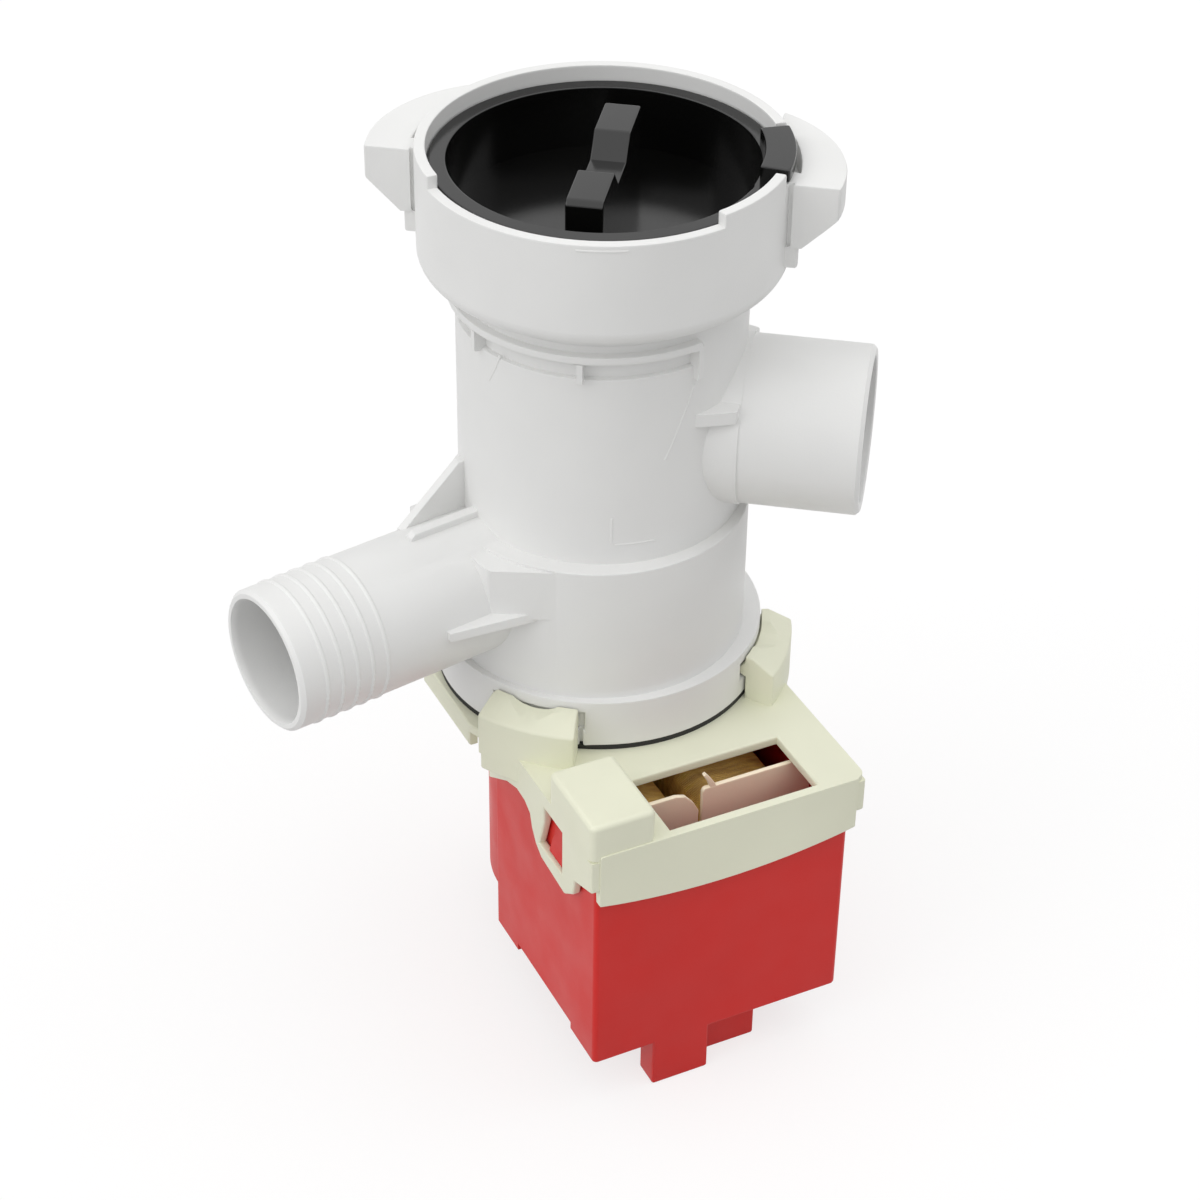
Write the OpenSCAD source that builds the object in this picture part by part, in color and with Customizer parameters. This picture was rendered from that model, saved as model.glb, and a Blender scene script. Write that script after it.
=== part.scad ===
// Washer drain pump with a filter housing on top and a synchronous motor below.
// +Z runs up the pump axis. The origin lies on that axis, in the plane the pump stands on.
// The motor's coils lie towards -Y, and the motor cover is square to X and Y.

/* [Stack heights] */
// Height of the feet under the motor cover
foot_h = 12.4; // [8:0.1:18]
// Height of the motor cover
cover_h = 59; // [56:0.1:66]
// Thickness of the motor plate
plate_t = 2.4; // [1.8:0.1:4]
// Thickness of the flange gasket
gasket_t = 1.2; // [0.8:0.1:2]
// Height of the housing flange
flange_h = 11.5; // [11:0.1:16]
// Height of the volute above the flange
volute_h = 32.1; // [31:0.1:40]
// Height of the filter tube between volute and collar
tube_h = 52.2; // [48:0.1:76]
// Height of the slope under the collar
slope_h = 3.2; // [2.6:0.1:5]
// Height of the collar from its underside to its rim
collar_h = 23.2; // [22.6:0.1:29]
// Height of the guard ring above the collar's rim
guard_h = 2.8; // [2:0.1:4]

/* [Pump housing] */
// Moulded wall of the housing
wall = 2.5; // [1.8:0.1:3]
// Outer radius of the filter tube
tube_r = 30.5; // [30:0.1:33]
// Outer radius of the collar
collar_r = 38.1; // [37.4:0.1:42]
// Rounding of the collar's lower edge
collar_round = 4; // [2:0.1:4.4]
// Radius of the ridge on the tube under the collar
ridge_r = 32.4; // [31.4:0.1:33]
// Height of the ridge
ridge_h = 1.8; // [1:0.1:3]
// Height of the slope under the ridge
ridge_slope = 0.8; // [0.4:0.1:3]
// Gap between the ridge and the collar
ridge_gap = 1.6; // [0.8:0.1:2.4]
// Spaces between the small ribs under the ridge
ridge_ribs = 6; // [4:1:12]
// Angle from the inlet to the ridge's ends
ridge_open = 42; // [36:1:60]
// Depth of the groove under the ridge
groove_d = 1.2; // [0.4:0.1:1.2]
// Wall of the collar round the cap's flange
mouth_wall = 2.4; // [1.8:0.1:3]
// Width of the step that the cap's flange sits on
mouth_step = 1.8; // [1.4:0.1:2.2]
// Depth of the collar's mouth below the rim
mouth_depth = 3.2; // [2.8:0.1:4]
// Radius of the base flange
flange_r = 36.1; // [35.9:0.1:38]
// Radius of the volute wall
volute_r = 33.05; // [32:0.05:33.6]
// Shift of the volute towards the outlet
volute_shift = 1.6; // [0.5:0.1:2]
// Direction of the volute's shift
volute_angle = -150; // [-170:1:-130]
// Wall between filter chamber and impeller chamber
partition_t = 2.4; // [1.8:0.1:3]
// Radius of the impeller's suction eye
eye_r = 13; // [10:0.1:16]
// Direction of the inlet spigot
inlet_angle = -36; // [-50:1:-20]
// Outer radius of the inlet spigot
inlet_r = 18; // [14:0.1:19]
// Reach of the inlet spigot from the axis
inlet_l = 56.8; // [50:0.1:80]
// Reach of the inlet's thicker root from the axis
inlet_root_l = 31.4; // [31.2:0.1:36]
// Step from the inlet's root to its hose seat
inlet_step = 0.35; // [0.2:0.05:0.6]
// Height of the inlet's axis above the volute
inlet_lift = 20.6; // [20:0.1:24]
// Direction of the outlet spigot
outlet_angle = 190; // [180:1:200]
// Outer radius of the outlet spigot
outlet_r = 15.5; // [13:0.1:15.6]
// Reach of the outlet spigot from the axis
outlet_l = 83.3; // [78:0.1:110]
// Offset of the outlet's axis from the pump axis
outlet_offset = -2; // [-4:0.1:0]
// Height of the outlet's axis above the flange
outlet_lift = 18.6; // [17.6:0.1:19]
// Reach of the throat between volute and outlet
throat_l = 37.9; // [36.5:0.1:41]
// Number of grip rings on the outlet
outlet_rings = 5; // [3:1:6]
// Height of the grip rings
outlet_ring_h = 0.3; // [0.2:0.05:0.8]
// Thickness of the housing's ribs
rib_t = 2.2; // [1.5:0.1:3]

/* [Collar ears] */
// Reach of the ears from the axis
ear_reach = 48.6; // [46:0.1:54]
// Radius of the ears' outer curve
ear_r = 30.4; // [28:0.1:32]
// Height of the ears
ear_h = 14; // [12:0.1:16]
// Height and width of the bevel under the ears
ear_bevel = 7; // [5:0.1:8]
// Distance of the ears' front faces from the axis
ear_front = 5.5; // [3:0.1:8]
// Width of the slot between ear and collar
ear_slot = 1.3; // [0.8:0.1:2]
// Depth of that slot
ear_slot_depth = 5; // [3:0.1:8]
// Drop of the small nub below the ear
nub_h = 4.6; // [3:0.1:7]
// Reach of the nub from the collar
nub_reach = 2.2; // [1.5:0.1:3]

/* [Filter cap] */
// Radial clearance of the cap in the collar
cap_gap = 0.4; // [0.3:0.05:0.5]
// Thickness of the cap's flange
cap_flange_t = 2.6; // [2:0.1:2.7]
// Wall of the cap's cup
cup_wall = 1.8; // [1.4:0.1:2.2]
// Depth of the cap's cup
cup_depth = 13.5; // [12:0.1:14]
// Thickness of the cup's floor
cup_floor = 2; // [1.5:0.1:2.4]
// Length of the grip bar
grip_l = 45; // [38:0.5:54]
// Width of the grip bar
grip_w = 7.6; // [6:0.1:10]
// Rise of the grip's end blocks over the cap's rim
grip_rise = 1.3; // [0:0.1:3]
// Drop of the saddle between the end blocks
saddle_drop = 4.6; // [3:0.1:7]
// Half length of the saddle
saddle_half = 4.5; // [3:0.1:6]
// First angle of the stop lug, from the inlet
lug_start = -8; // [-12:1:-4]
// Last angle of the stop lug, from the inlet
lug_end = 23; // [16:1:28]
// Thickness of the stop lug over the rim
lug_t = 2.7; // [2:0.1:3.5]
// Cord radius of the cap's seal ring
cap_seal_r = 1.3; // [1.1:0.1:1.5]

/* [Filter basket] */
// Radial clearance of the basket in the tube
basket_gap = 0.6; // [0.4:0.05:1]
// Wall of the basket
basket_wall = 2.2; // [1.6:0.1:3]
// Gap between the basket and the chamber's floor
basket_floor_gap = 3.4; // [2:0.1:6]
// Number of bars in the basket
basket_bars = 9; // [6:1:12]
// Width of a basket bar
basket_bar_w = 3; // [2:0.1:4]
// Number of hoops round the basket
basket_hoops = 3; // [2:1:4]

/* [Motor cover] */
// Width of the motor cover
cover_w = 60.6; // [60:0.1:66]
// Depth of the motor cover
cover_d = 51.7; // [50.5:0.1:54]
// Distance of the cover's front face from the axis
cover_front = 62.2; // [62:0.1:66]
// Wall of the motor cover
cover_wall = 2; // [1.5:0.1:2.1]
// Outer radius of the cover's nose round the rotor
nose_r = 25; // [24.6:0.1:27]
// Radius of the rear foot under the rotor
rear_foot_r = 11; // [9:0.1:14]
// Width of the front foot
front_foot_w = 13.8; // [10:0.1:16]
// Left side of the front foot, from the axis
front_foot_x = -15.7; // [-18:0.1:-13]
// Outer width of the connector shroud
shroud_w = 22.8; // [21.5:0.1:26]
// Outer depth of the connector shroud
shroud_d = 15.3; // [12:0.1:20]
// Setback of the shroud from the front face
shroud_setback = 4.9; // [4:0.1:7]
// Wall of the connector shroud
shroud_wall = 1.6; // [1.2:0.1:2]
// Middle of the connector shroud, from the axis
shroud_x = 1; // [0:0.1:2]
// Length of the cable notch at the foot of the side walls
notch_l = 28; // [20:0.5:34]
// Height of the cable notch
notch_h = 2.4; // [1:0.1:4]

/* [Motor plate] */
// Radius of the plate's round part
plate_r = 39.3; // [39:0.1:42]
// Half width of the plate between the flats on its round part
plate_flat = 37.2; // [37:0.1:38]
// Wall of the plate's skirt
skirt_wall = 2; // [1.5:0.1:3]
// Clearance between skirt and cover
skirt_gap = 0.2; // [0.1:0.05:0.5]
// Drop of the skirt round the plate's round part
round_skirt_h = 3.6; // [3:0.1:6]
// Height of the front band at its ends
band_h = 13.3; // [11:0.1:15]
// Extra height of the front band in its middle
band_bow = 3.4; // [1:0.1:5]
// Height of the corner block over the plate
block_h = 8; // [5:0.1:10]
// Width of the corner block
block_w = 14.9; // [13:0.1:16]
// Depth of the corner block
block_d = 20.9; // [16:0.1:22]
// Left side of the coil window, from the axis
window_left = 13.4; // [12:0.1:15]
// Right side of the coil window, from the axis
window_right = 21.4; // [18:0.1:24]
// Back edge of the coil window, from the axis
window_back = 44.8; // [43:0.1:48]
// Half width of a clip, in degrees
clip_half = 15; // [12:1:20]
// Direction of the left one of three clips
clip_angle = -137.5; // [-146:0.5:-136]
// Height of the clips over the plate
clip_h = 11.2; // [10.4:0.1:12]
// Reach of the clips beyond the flange
clip_reach = 7.2; // [5:0.1:8]
// Radial clearance of the clips round the flange
clip_gap = 0.4; // [0.3:0.05:0.6]
// Outer radius of the plate's locating ring
locate_r = 33; // [32.4:0.1:33.2]
// Height of the plate's locating ring
locate_h = 5.7; // [4:0.1:6]
// Radial clearance of the locating ring in the flange
locate_gap = 0.3; // [0.2:0.05:0.4]

/* [Motor] */
// Height of the stator stack
core_h = 26; // [22:0.5:28]
// Height of the stator stack above the cover's underside
core_lift = 18.6; // [17.5:0.1:20]
// Width of a stator leg
leg_w = 9; // [7:0.1:9.4]
// Depth of the stator yoke
yoke_d = 9; // [7.5:0.1:9.2]
// Gap between the yoke and the cover's front wall
yoke_gap = 0.2; // [0.1:0.05:0.4]
// Outer half width of the stator's pole shoes
shoe_x = 21.5; // [20:0.1:22]
// Half depth of the stator's pole shoes
shoe_y = 16; // [14:0.1:16.3]
// Gap between the two pole shoes
shoe_gap = 5; // [3:0.1:8]
// Inner radius of the rotor can
can_r = 13.2; // [13:0.1:13.5]
// Wall of the rotor can
can_wall = 1; // [0.8:0.1:1.2]
// Clearance between the can and the pole shoes
can_gap = 0.3; // [0.2:0.05:0.5]
// Height of the seat under the can
can_seat = 3.6; // [2:0.1:5]
// Wall of the can's closed end
can_floor = 1.5; // [1:0.1:2]
// Radius of the rear bearing's grommet
grommet_r = 8.5; // [7.5:0.1:9]
// Gap between rotor magnet and can
rotor_gap = 0.8; // [0.5:0.05:1.2]
// Length of the rotor magnet
magnet_l = 30; // [20:0.5:31]
// Bore radius of the rotor magnet
magnet_bore_r = 6; // [5:0.1:7]
// Radius of the rotor shaft
shaft_r = 2.5; // [2:0.05:3]
// Running clearance of the shaft in its bearings
shaft_gap = 0.04; // [0.02:0.01:0.08]
// Outer radius of the bearings
bearing_r = 5; // [4.4:0.1:5.6]
// Length of the bearings
bearing_l = 7; // [5:0.1:7.4]
// Thickness of the thrust washers
washer_t = 0.8; // [0.5:0.1:1.2]
// Axial play beside each thrust washer
washer_gap = 0.15; // [0.1:0.05:0.3]
// Flange radius of the bearing carrier
carrier_r = 17; // [15.5:0.1:20]
// Flange thickness of the bearing carrier
carrier_t = 1.8; // [1.2:0.1:2.2]
// Depth of the bearing carrier in the can
carrier_d = 12.2; // [11.6:0.1:14]

/* [Coils] */
// Thickness of the bobbin walls and flanges
bobbin_t = 1.2; // [0.9:0.1:1.5]
// Clearance of the bobbin on its leg
bobbin_gap = 0.15; // [0.1:0.05:0.25]
// Thickness of the inner winding
coil_t = 4.2; // [3:0.1:4.4]
// Radius of the wire in the outer layer
wire_r = 0.45; // [0.35:0.01:0.48]
// Number of turns in the outer layer
turns = 18; // [12:1:19]
// Gap between the two coils
coil_gap = 2.8; // [2.4:0.1:3.6]
// Rise of the front flange over the winding
flange_rise = 7.4; // [4:0.1:7.6]
// Extra width of the front flange on its outer side
flange_extra = 2.6; // [1:0.1:3]
// Width of a terminal blade
terminal_w = 6.3; // [4.8:0.1:6.4]
// Thickness of a terminal blade
terminal_t = 0.8; // [0.5:0.1:1]
// Distance between the terminals
terminal_pitch = 10.4; // [9.4:0.1:11]
// Recess of the terminal tips above the feet
terminal_recess = 3; // [1:0.1:5]

/* [Impeller] */
// Radius of the impeller
impeller_r = 22; // [18:0.1:25]
// Number of impeller blades
blades = 6; // [4:1:8]
// Thickness of a blade
blade_t = 1.8; // [1.4:0.1:2.4]
// Height of the impeller over the carrier
impeller_lift = 1.9; // [1.2:0.1:3]
// Height of the impeller's hub
hub_h = 21.5; // [21:0.1:24]
// Radius of the impeller's hub
hub_r = 10.5; // [10.2:0.1:12]
// Thickness of the impeller's back disc
disc_t = 1.8; // [1.4:0.1:2.4]
// Radius of the clutch chamber in the hub
clutch_r = 8.4; // [8:0.1:8.6]
// Depth of the clutch chamber
clutch_h = 9.5; // [8:0.1:10]
// Radius of the driver's boss
dog_r = 5; // [4.6:0.1:5.2]
// Half width of the clutch claws, in degrees
claw_half = 18; // [14:1:20]
// Clearance inside the clutch
clutch_gap = 0.4; // [0.3:0.05:0.5]

/* [Hidden] */
$fn = 96;
// Overlap that lets a cut pass clear of a face
cut = 1;

// Levels from the ground up
cover_z = foot_h;
plate_z = cover_z + cover_h;
plate_top = plate_z + plate_t;
flange_z = plate_top + gasket_t;
flange_top = flange_z + flange_h;
ledge_z = flange_top + volute_h;
slope_z = ledge_z + tube_h;
collar_z = slope_z + slope_h;
rim_z = collar_z + collar_h;
guard_z = rim_z + guard_h;

// Housing
bore_r = tube_r - wall;
mouth_r = collar_r - mouth_wall;
neck_r = mouth_r - mouth_step;
mouth_z = rim_z - mouth_depth;
cone_z = slope_z - 0.5;
neck_z = collar_z + 2;
ridge_top = slope_z - ridge_gap;
ridge_z = ridge_top - ridge_h - ridge_slope;
ridge_rib_w = 1.2;
groove_h = 3.5;
ridge_rib_drop = groove_h + 0.5;
ridge_end_drop = 6.4;
throat_step = 0.5;
throat_in = 27;
throat_side = 21.5;
throat_back = 0.6;
clip_step = 0.4;
volute_x = volute_shift * cos(volute_angle);
volute_y = volute_shift * sin(volute_angle);
chamber_z = ledge_z - partition_t;
inlet_z = ledge_z + inlet_lift;
outlet_z = flange_top + outlet_lift;
outlet_ring_step = 3.6;
spigot_bevel = 0.8;
mouth_bevel = 1.2;
mouth_bevel_l = 3;
rib_end = 47;
shelf_end = 48.5;
fin_end = inlet_root_l - 0.3;
gusset_h = 10;
outlet_ring_end = 6;
ear_x = ear_reach - ear_r;
ear_z = rim_z - ear_h;
guard_right = -42.5;
guard_left = 214.7;
lug_gap = 2;
pocket_depth = 1.2;
pocket_z = flange_z + 4.2;
pocket_h = 4.4;
pocket_gap = 0.2;
slit_from = 0.4;
slit_to = 1.7;

// Cap and basket
seat_gap = 0.2;
cap_z = mouth_z + seat_gap;
cap_top = cap_z + cap_flange_t;
cap_flange_r = mouth_r - cap_gap;
cup_r = neck_r - cap_gap;
cup_in = cup_r - cup_wall;
cup_z = cap_top - cup_depth - cup_floor;
lug_in = cup_in + 0.4;
lug_neck = cap_flange_r - 0.4;
lug_over = 0.2;
lug_z = rim_z + seat_gap;
plug_z = neck_z + 0.6;
seal_gap = 0.3;
cap_seal_mid = neck_r - seal_gap - cap_seal_r;
plug_in = cap_seal_mid - cap_seal_r - 1.2;
cap_seal_z = (plug_z + cup_z) / 2;
basket_r = bore_r - basket_gap;
basket_top_r = min(plug_in - 0.2, bore_r + 0.4);
basket_neck = cone_z + 1.5;
basket_z = ledge_z + basket_floor_gap;
basket_ring_h = 3;

// Cover
cover_x = cover_w / 2;
cover_back = cover_front - cover_d;
cover_in_y = cover_front - cover_wall;
floor_z = cover_z + cover_wall;
shroud_y = -cover_front + shroud_setback;
catch_y = -45.5;
catch_half = 3.2;
catch_h = 5;
catch_reach = 1.6;
catch_gap = 0.2;

// Plate
skirt_x = cover_x + skirt_gap;
skirt_out = skirt_x + skirt_wall;
skirt_front = cover_front + skirt_gap;
skirt_end = cover_back + 1.5;
band_r = (skirt_out * skirt_out + band_bow * band_bow) / (2 * band_bow);
clip_r = flange_r + clip_gap;
clip_z = plate_top + clip_h;
clip_fall = 3;
loop_drop = 17.4;
loop_strap = 4.4;
loop_gap = 1.2;
loop_slant = 2.4;
skirt_drop = 7;
catch_z = plate_z - loop_drop + loop_strap + catch_gap;
post_w = 5;
clip_angles = [clip_angle, clip_angle + 98.5, clip_angle + 229];
clip_out = flange_r + clip_reach;

// Motor
core_z = cover_z + core_lift;
core_top = core_z + core_h;
core_mid = core_z + core_h / 2;
can_z = floor_z + can_seat;
can_out = can_r + can_wall;
pocket_floor = can_z + can_floor;
grommet_h = bearing_l;
can_step = pocket_floor + grommet_h;
bore_gap_r = can_out + can_gap;
shoe_round_r = nose_r - cover_wall - 0.5;
magnet_r = can_r - rotor_gap;
yoke_front = cover_in_y - yoke_gap;
yoke_back = yoke_front - yoke_d;
rear_bearing_z = pocket_floor + 0.3;
rear_washer_z = rear_bearing_z + bearing_l + washer_gap;
hub_bottom = rear_washer_z + washer_t + washer_gap;
carrier_z = plate_top - carrier_d;
front_washer_z = carrier_z - washer_gap - washer_t;
rotor_hub_top = front_washer_z - washer_gap;
magnet_z = core_mid - magnet_l / 2;
hub_flange_t = 1.2;
washer_r = bearing_r - 0.3;
carrier_seal_r = 1.1;
carrier_seal_z = plate_top - 5;
carrier_body_r = can_r - 0.1;

// Coils
tube_x = leg_w + 2 * bobbin_gap + 2 * bobbin_t;
tube_z = core_h + 2 * bobbin_gap + 2 * bobbin_t;
coil_x = tube_x + 2 * coil_t;
coil_z = tube_z + 2 * coil_t;
wire_gap = 0.05;
turn_x = coil_x / 2 + wire_gap + wire_r;
turn_z = coil_z / 2 + wire_gap + wire_r;
turn_corner = coil_t + wire_gap + wire_r;
leg_x = coil_gap / 2 + turn_x + wire_r;
front_flange_y = -yoke_back + 0.2;
back_flange_y = -shoe_y - 0.4 - bobbin_t;
coil_front = front_flange_y + bobbin_t;
coil_back = back_flange_y;
coil_l = coil_back - coil_front;
flange_margin = 0.9;
bend_r = 1.4;
tail = 2 * wire_r;
turn_pitch = (coil_l - 2 * (bend_r + tail + wire_gap)) / turns;
rings_per_turn = 16;
tube_sides = 6;
bobbin_bottom = core_mid - turn_z - wire_r - flange_margin;
terminal_top = bobbin_bottom;
terminal_y = front_flange_y + bobbin_t / 2;

// Impeller
carrier_top = plate_top + carrier_t;
impeller_z = carrier_top + impeller_lift;
clutch_top = impeller_z + clutch_h;
nose_recess = 3.2;
nose_z = impeller_z + hub_h - nose_recess;
dog_z = impeller_z + 0.8;
dog_h = clutch_h - 0.8 - clutch_gap;
claw_r = clutch_r - clutch_gap;
clip_t = 0.8;
shaft_top = nose_z + 0.2 + clip_t + 0.4;
nose_plug_r = 7.4;
nose_t = 2.2;

// Shapes used by several pieces
module block(x0, x1, y0, y1, z0, z1) {
    translate([x0, y0, z0]) cube([x1 - x0, y1 - y0, z1 - z0]);
}

module ring(outer, inner, z, h) {
    translate([0, 0, z]) difference() {
        cylinder(r = outer, h = h);
        translate([0, 0, -cut]) cylinder(r = inner, h = h + 2 * cut);
    }
}

module sector(inner, outer, z0, z1, from, to) {
    rotate([0, 0, from])
        rotate_extrude(angle = to - from)
            translate([inner, z0]) square([outer - inner, z1 - z0]);
}

module torus(mid, cord, z) {
    translate([0, 0, z]) rotate_extrude() translate([mid, 0]) circle(r = cord);
}

module along_x(r, length) {
    rotate([0, 90, 0]) cylinder(r = r, h = length);
}

module rounded(x0, x1, y0, y1, r) {
    translate([x0 + r, y0]) square([x1 - x0 - 2 * r, y1 - y0]);
    translate([x0, y0 + r]) square([x1 - x0, y1 - y0 - 2 * r]);
    for (x = [x0 + r, x1 - r], y = [y0 + r, y1 - r]) translate([x, y]) circle(r = r);
}

// Upright web between three points of a vertical plane along X
module web(points, y, t) {
    translate([0, y + t / 2, 0]) rotate([90, 0, 0]) linear_extrude(t) polygon(points);
}

// Pump housing
module collar_body() {
    rotate_extrude() {
        translate([0, collar_z]) square([collar_r - collar_round, guard_z - collar_z]);
        translate([0, collar_z + collar_round]) square([collar_r, guard_z - collar_z - collar_round]);
        translate([collar_r - collar_round, collar_z + collar_round]) circle(r = collar_round);
        polygon([
            [0, slope_z], [tube_r, slope_z], [collar_r - collar_round, collar_z],
            [collar_r - collar_round, collar_z + cut], [0, collar_z + cut]
        ]);
    }
    rotate([0, 0, inlet_angle + ridge_open]) ridge(360 - 2 * ridge_open);
}

// Ridge under the collar, open over the inlet, with small ribs below it
// Tube with the groove that runs under the ridge
module filter_tube() {
    difference() {
        translate([0, 0, ledge_z - cut]) cylinder(r = tube_r, h = tube_h + 2 * cut);
        rotate([0, 0, inlet_angle + ridge_open])
            sector(tube_r - groove_d, tube_r + cut, ridge_z - groove_h, ridge_z + ridge_slope / 2,
                   0, 360 - 2 * ridge_open);
    }
}

module ridge(arc) {
    rotate_extrude(angle = arc) polygon([
        [bore_r + cut, ridge_z], [tube_r - 0.5, ridge_z], [ridge_r, ridge_z + ridge_slope],
        [ridge_r, ridge_top], [bore_r + cut, ridge_top]
    ]);
    for (i = [0 : ridge_ribs]) rotate([0, 0, arc / ridge_ribs * i])
        block(bore_r + cut, ridge_r - 0.2, -ridge_rib_w / 2, ridge_rib_w / 2,
              ridge_z - (i % ridge_ribs == 0 ? ridge_end_drop : ridge_rib_drop), ridge_top - ridge_h / 2);
}

module ear() {
    intersection() {
        translate([ear_x, 0, 0]) rotate_extrude() polygon([
            [0, ear_z], [ear_r - ear_bevel, ear_z], [ear_r, ear_z + ear_bevel], [ear_r, rim_z], [0, rim_z]
        ]);
        block(neck_r - cut, ear_reach + cut, -ear_front, collar_r, ear_z, rim_z);
    }
    block(neck_r - cut, collar_r + nub_reach, -ear_front + 0.3, -ear_front + rib_t,
          ear_z - nub_h, ear_z + ear_bevel);
}

module ear_cuts() {
    sector(collar_r - cut, collar_r + ear_slot, rim_z - ear_slot_depth, rim_z + cut, 0, 46);
    block(collar_r - cut, collar_r + ear_slot / 2, -ear_front - cut, -ear_front + 1, ear_z, rim_z + cut);
}

// Pipe along X with a bevelled end
module spigot(r, length) {
    rotate([0, 90, 0]) rotate_extrude() polygon([
        [0, 0], [r, 0], [r, length - spigot_bevel], [r - spigot_bevel, length], [0, length]
    ]);
}

module spigots() {
    rotate([0, 0, inlet_angle]) translate([0, 0, inlet_z]) {
        spigot(inlet_r, inlet_l);
        along_x(inlet_r + inlet_step, inlet_root_l);
    }
    rotate([0, 0, outlet_angle]) translate([0, outlet_offset, outlet_z]) {
        spigot(outlet_r, outlet_l);
        for (i = [0 : outlet_rings - 1])
            translate([outlet_l - outlet_ring_end - i * outlet_ring_step, 0, 0])
                rotate([0, 90, 0]) torus(outlet_r - outlet_ring_h, 2 * outlet_ring_h, 0);
    }
    rotate([0, 0, outlet_angle]) throat();
}

// Upper half of the way from the volute to the outlet. The lower half is the round pipe.
module throat() {
    front = outlet_offset + outlet_r;
    back = outlet_offset - outlet_r + throat_back;
    low = outlet_z + rib_t / 2;
    translate([0, 0, low]) linear_extrude(ledge_z - throat_step - low) polygon([
        [0, back], [throat_l, back], [throat_l, front - 1.7], [throat_l - 0.5, front - 0.1],
        [throat_in, throat_side], [0, throat_side]
    ]);
}

module outlet_ribs() {
    crown = outlet_z + outlet_r;
    front = outlet_offset + outlet_r;
    // Low rib along the crown
    web([[bore_r + cut, outlet_z], [rib_end, outlet_z], [rib_end, crown + 0.6], [rib_end - 1, crown + 1.5],
         [bore_r + cut, crown + 1.5]], outlet_offset - 1, rib_t);
    // Tall gusset behind the crown
    web([[tube_r - 4, outlet_z], [rib_end - 4, outlet_z], [rib_end - 2, crown - 2],
         [tube_r, crown + gusset_h], [tube_r - 4, crown + gusset_h]], outlet_offset - outlet_r / 2, rib_t);
    // Shelf on the front side, with its tip on the volute's wall
    translate([0, 0, outlet_z + 0.1]) linear_extrude(rib_t) polygon([
        [throat_in - 1, front - 1.5], [shelf_end, front - 1.5], [shelf_end, front + 1],
        [throat_in + 3, throat_side - 3], [throat_in - 1, throat_side - 3]
    ]);
}

module housing_ribs() {
    rotate([0, 0, outlet_angle]) outlet_ribs();
    rotate([0, 0, inlet_angle])
        for (side = [-1, 1]) translate([0, 0, inlet_z + inlet_r / 2]) linear_extrude(rib_t + 0.6)
            polygon([
                [20, side * 20.5], [24, side * 10], [fin_end, side * 10],
                [fin_end, side * 17.4], [24, side * 20]
            ]);
}

module housing_hollow() {
    rotate_extrude() polygon([
        [0, ledge_z], [bore_r, ledge_z], [bore_r, cone_z], [neck_r, neck_z], [neck_r, mouth_z],
        [mouth_r, mouth_z], [mouth_r, guard_z + cut], [0, guard_z + cut]
    ]);
    translate([0, 0, chamber_z - cut]) cylinder(r = eye_r, h = partition_t + 2 * cut);
    translate([volute_x, volute_y, flange_z - cut])
        cylinder(r = volute_r - wall, h = chamber_z - flange_z + cut);
    translate([0, 0, flange_z - cut]) cylinder(r = locate_r + locate_gap, h = locate_h + cut);
    rotate([0, 0, inlet_angle]) translate([0, 0, inlet_z]) along_x(inlet_r - wall, inlet_l + cut);
    rotate([0, 0, outlet_angle]) translate([eye_r + wall, outlet_offset, outlet_z])
        along_x(outlet_r - wall, outlet_l);
    rotate([0, 0, outlet_angle]) translate([outlet_l + cut - mouth_bevel_l, outlet_offset, outlet_z])
        rotate([0, 90, 0])
            cylinder(r1 = outlet_r - wall - 0.2, r2 = outlet_r - wall + mouth_bevel, h = mouth_bevel_l);
    for (a = clip_angles) rotate([0, 0, a]) {
        sector(flange_r - pocket_depth, flange_r + cut, pocket_z, pocket_z + pocket_h,
               -clip_half - 2, clip_half + 2);
        sector(flange_r - pocket_depth + 0.2, flange_r + cut, flange_z - cut, pocket_z + cut,
               clip_half + slit_from, clip_half + slit_to);
    }
}

module pump_housing() {
    color("whitesmoke") difference() {
        union() {
            translate([0, 0, flange_z]) cylinder(r = flange_r, h = flange_h);
            translate([volute_x, volute_y, flange_top - cut]) cylinder(r = volute_r, h = volute_h + cut);
            filter_tube();
            collar_body();
            spigots();
            housing_ribs();
            rotate([0, 0, inlet_angle]) for (side = [0, 1]) mirror([side, 0, 0]) difference() {
                ear();
                ear_cuts();
            }
        }
        rotate([0, 0, inlet_angle]) {
            sector(neck_r, collar_r + cut, rim_z, guard_z + cut, lug_start - lug_gap, lug_end + lug_gap);
            sector(neck_r, collar_r + cut, rim_z, guard_z + cut, guard_left, guard_right + 360);
        }
        housing_hollow();
    }
}

module flange_gasket() {
    color("black") ring(flange_r - 0.2, locate_r + locate_gap, plate_top, gasket_t);
}

// Filter cap, its seal and the basket below it
module cap_body() {
    rotate_extrude() polygon([
        [0, cup_z], [plug_in, cup_z], [plug_in, plug_z], [cup_r, plug_z], [cup_r, cap_z],
        [cap_flange_r, cap_z], [cap_flange_r, cap_top], [cup_in, cap_top],
        [cup_in, cup_z + cup_floor], [0, cup_z + cup_floor]
    ]);
}

module grip() {
    top = cap_top + grip_rise;
    half = grip_l / 2;
    rotate([0, 0, 90]) web([
        [-half, cup_z + cut / 2], [half, cup_z + cut / 2], [half, top - 1], [half - 1, top],
        [saddle_half + saddle_drop, top], [saddle_half, top - saddle_drop],
        [-saddle_half, top - saddle_drop], [-saddle_half - saddle_drop, top],
        [1 - half, top], [-half, top - 1]
    ], 0, grip_w);
}

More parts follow.
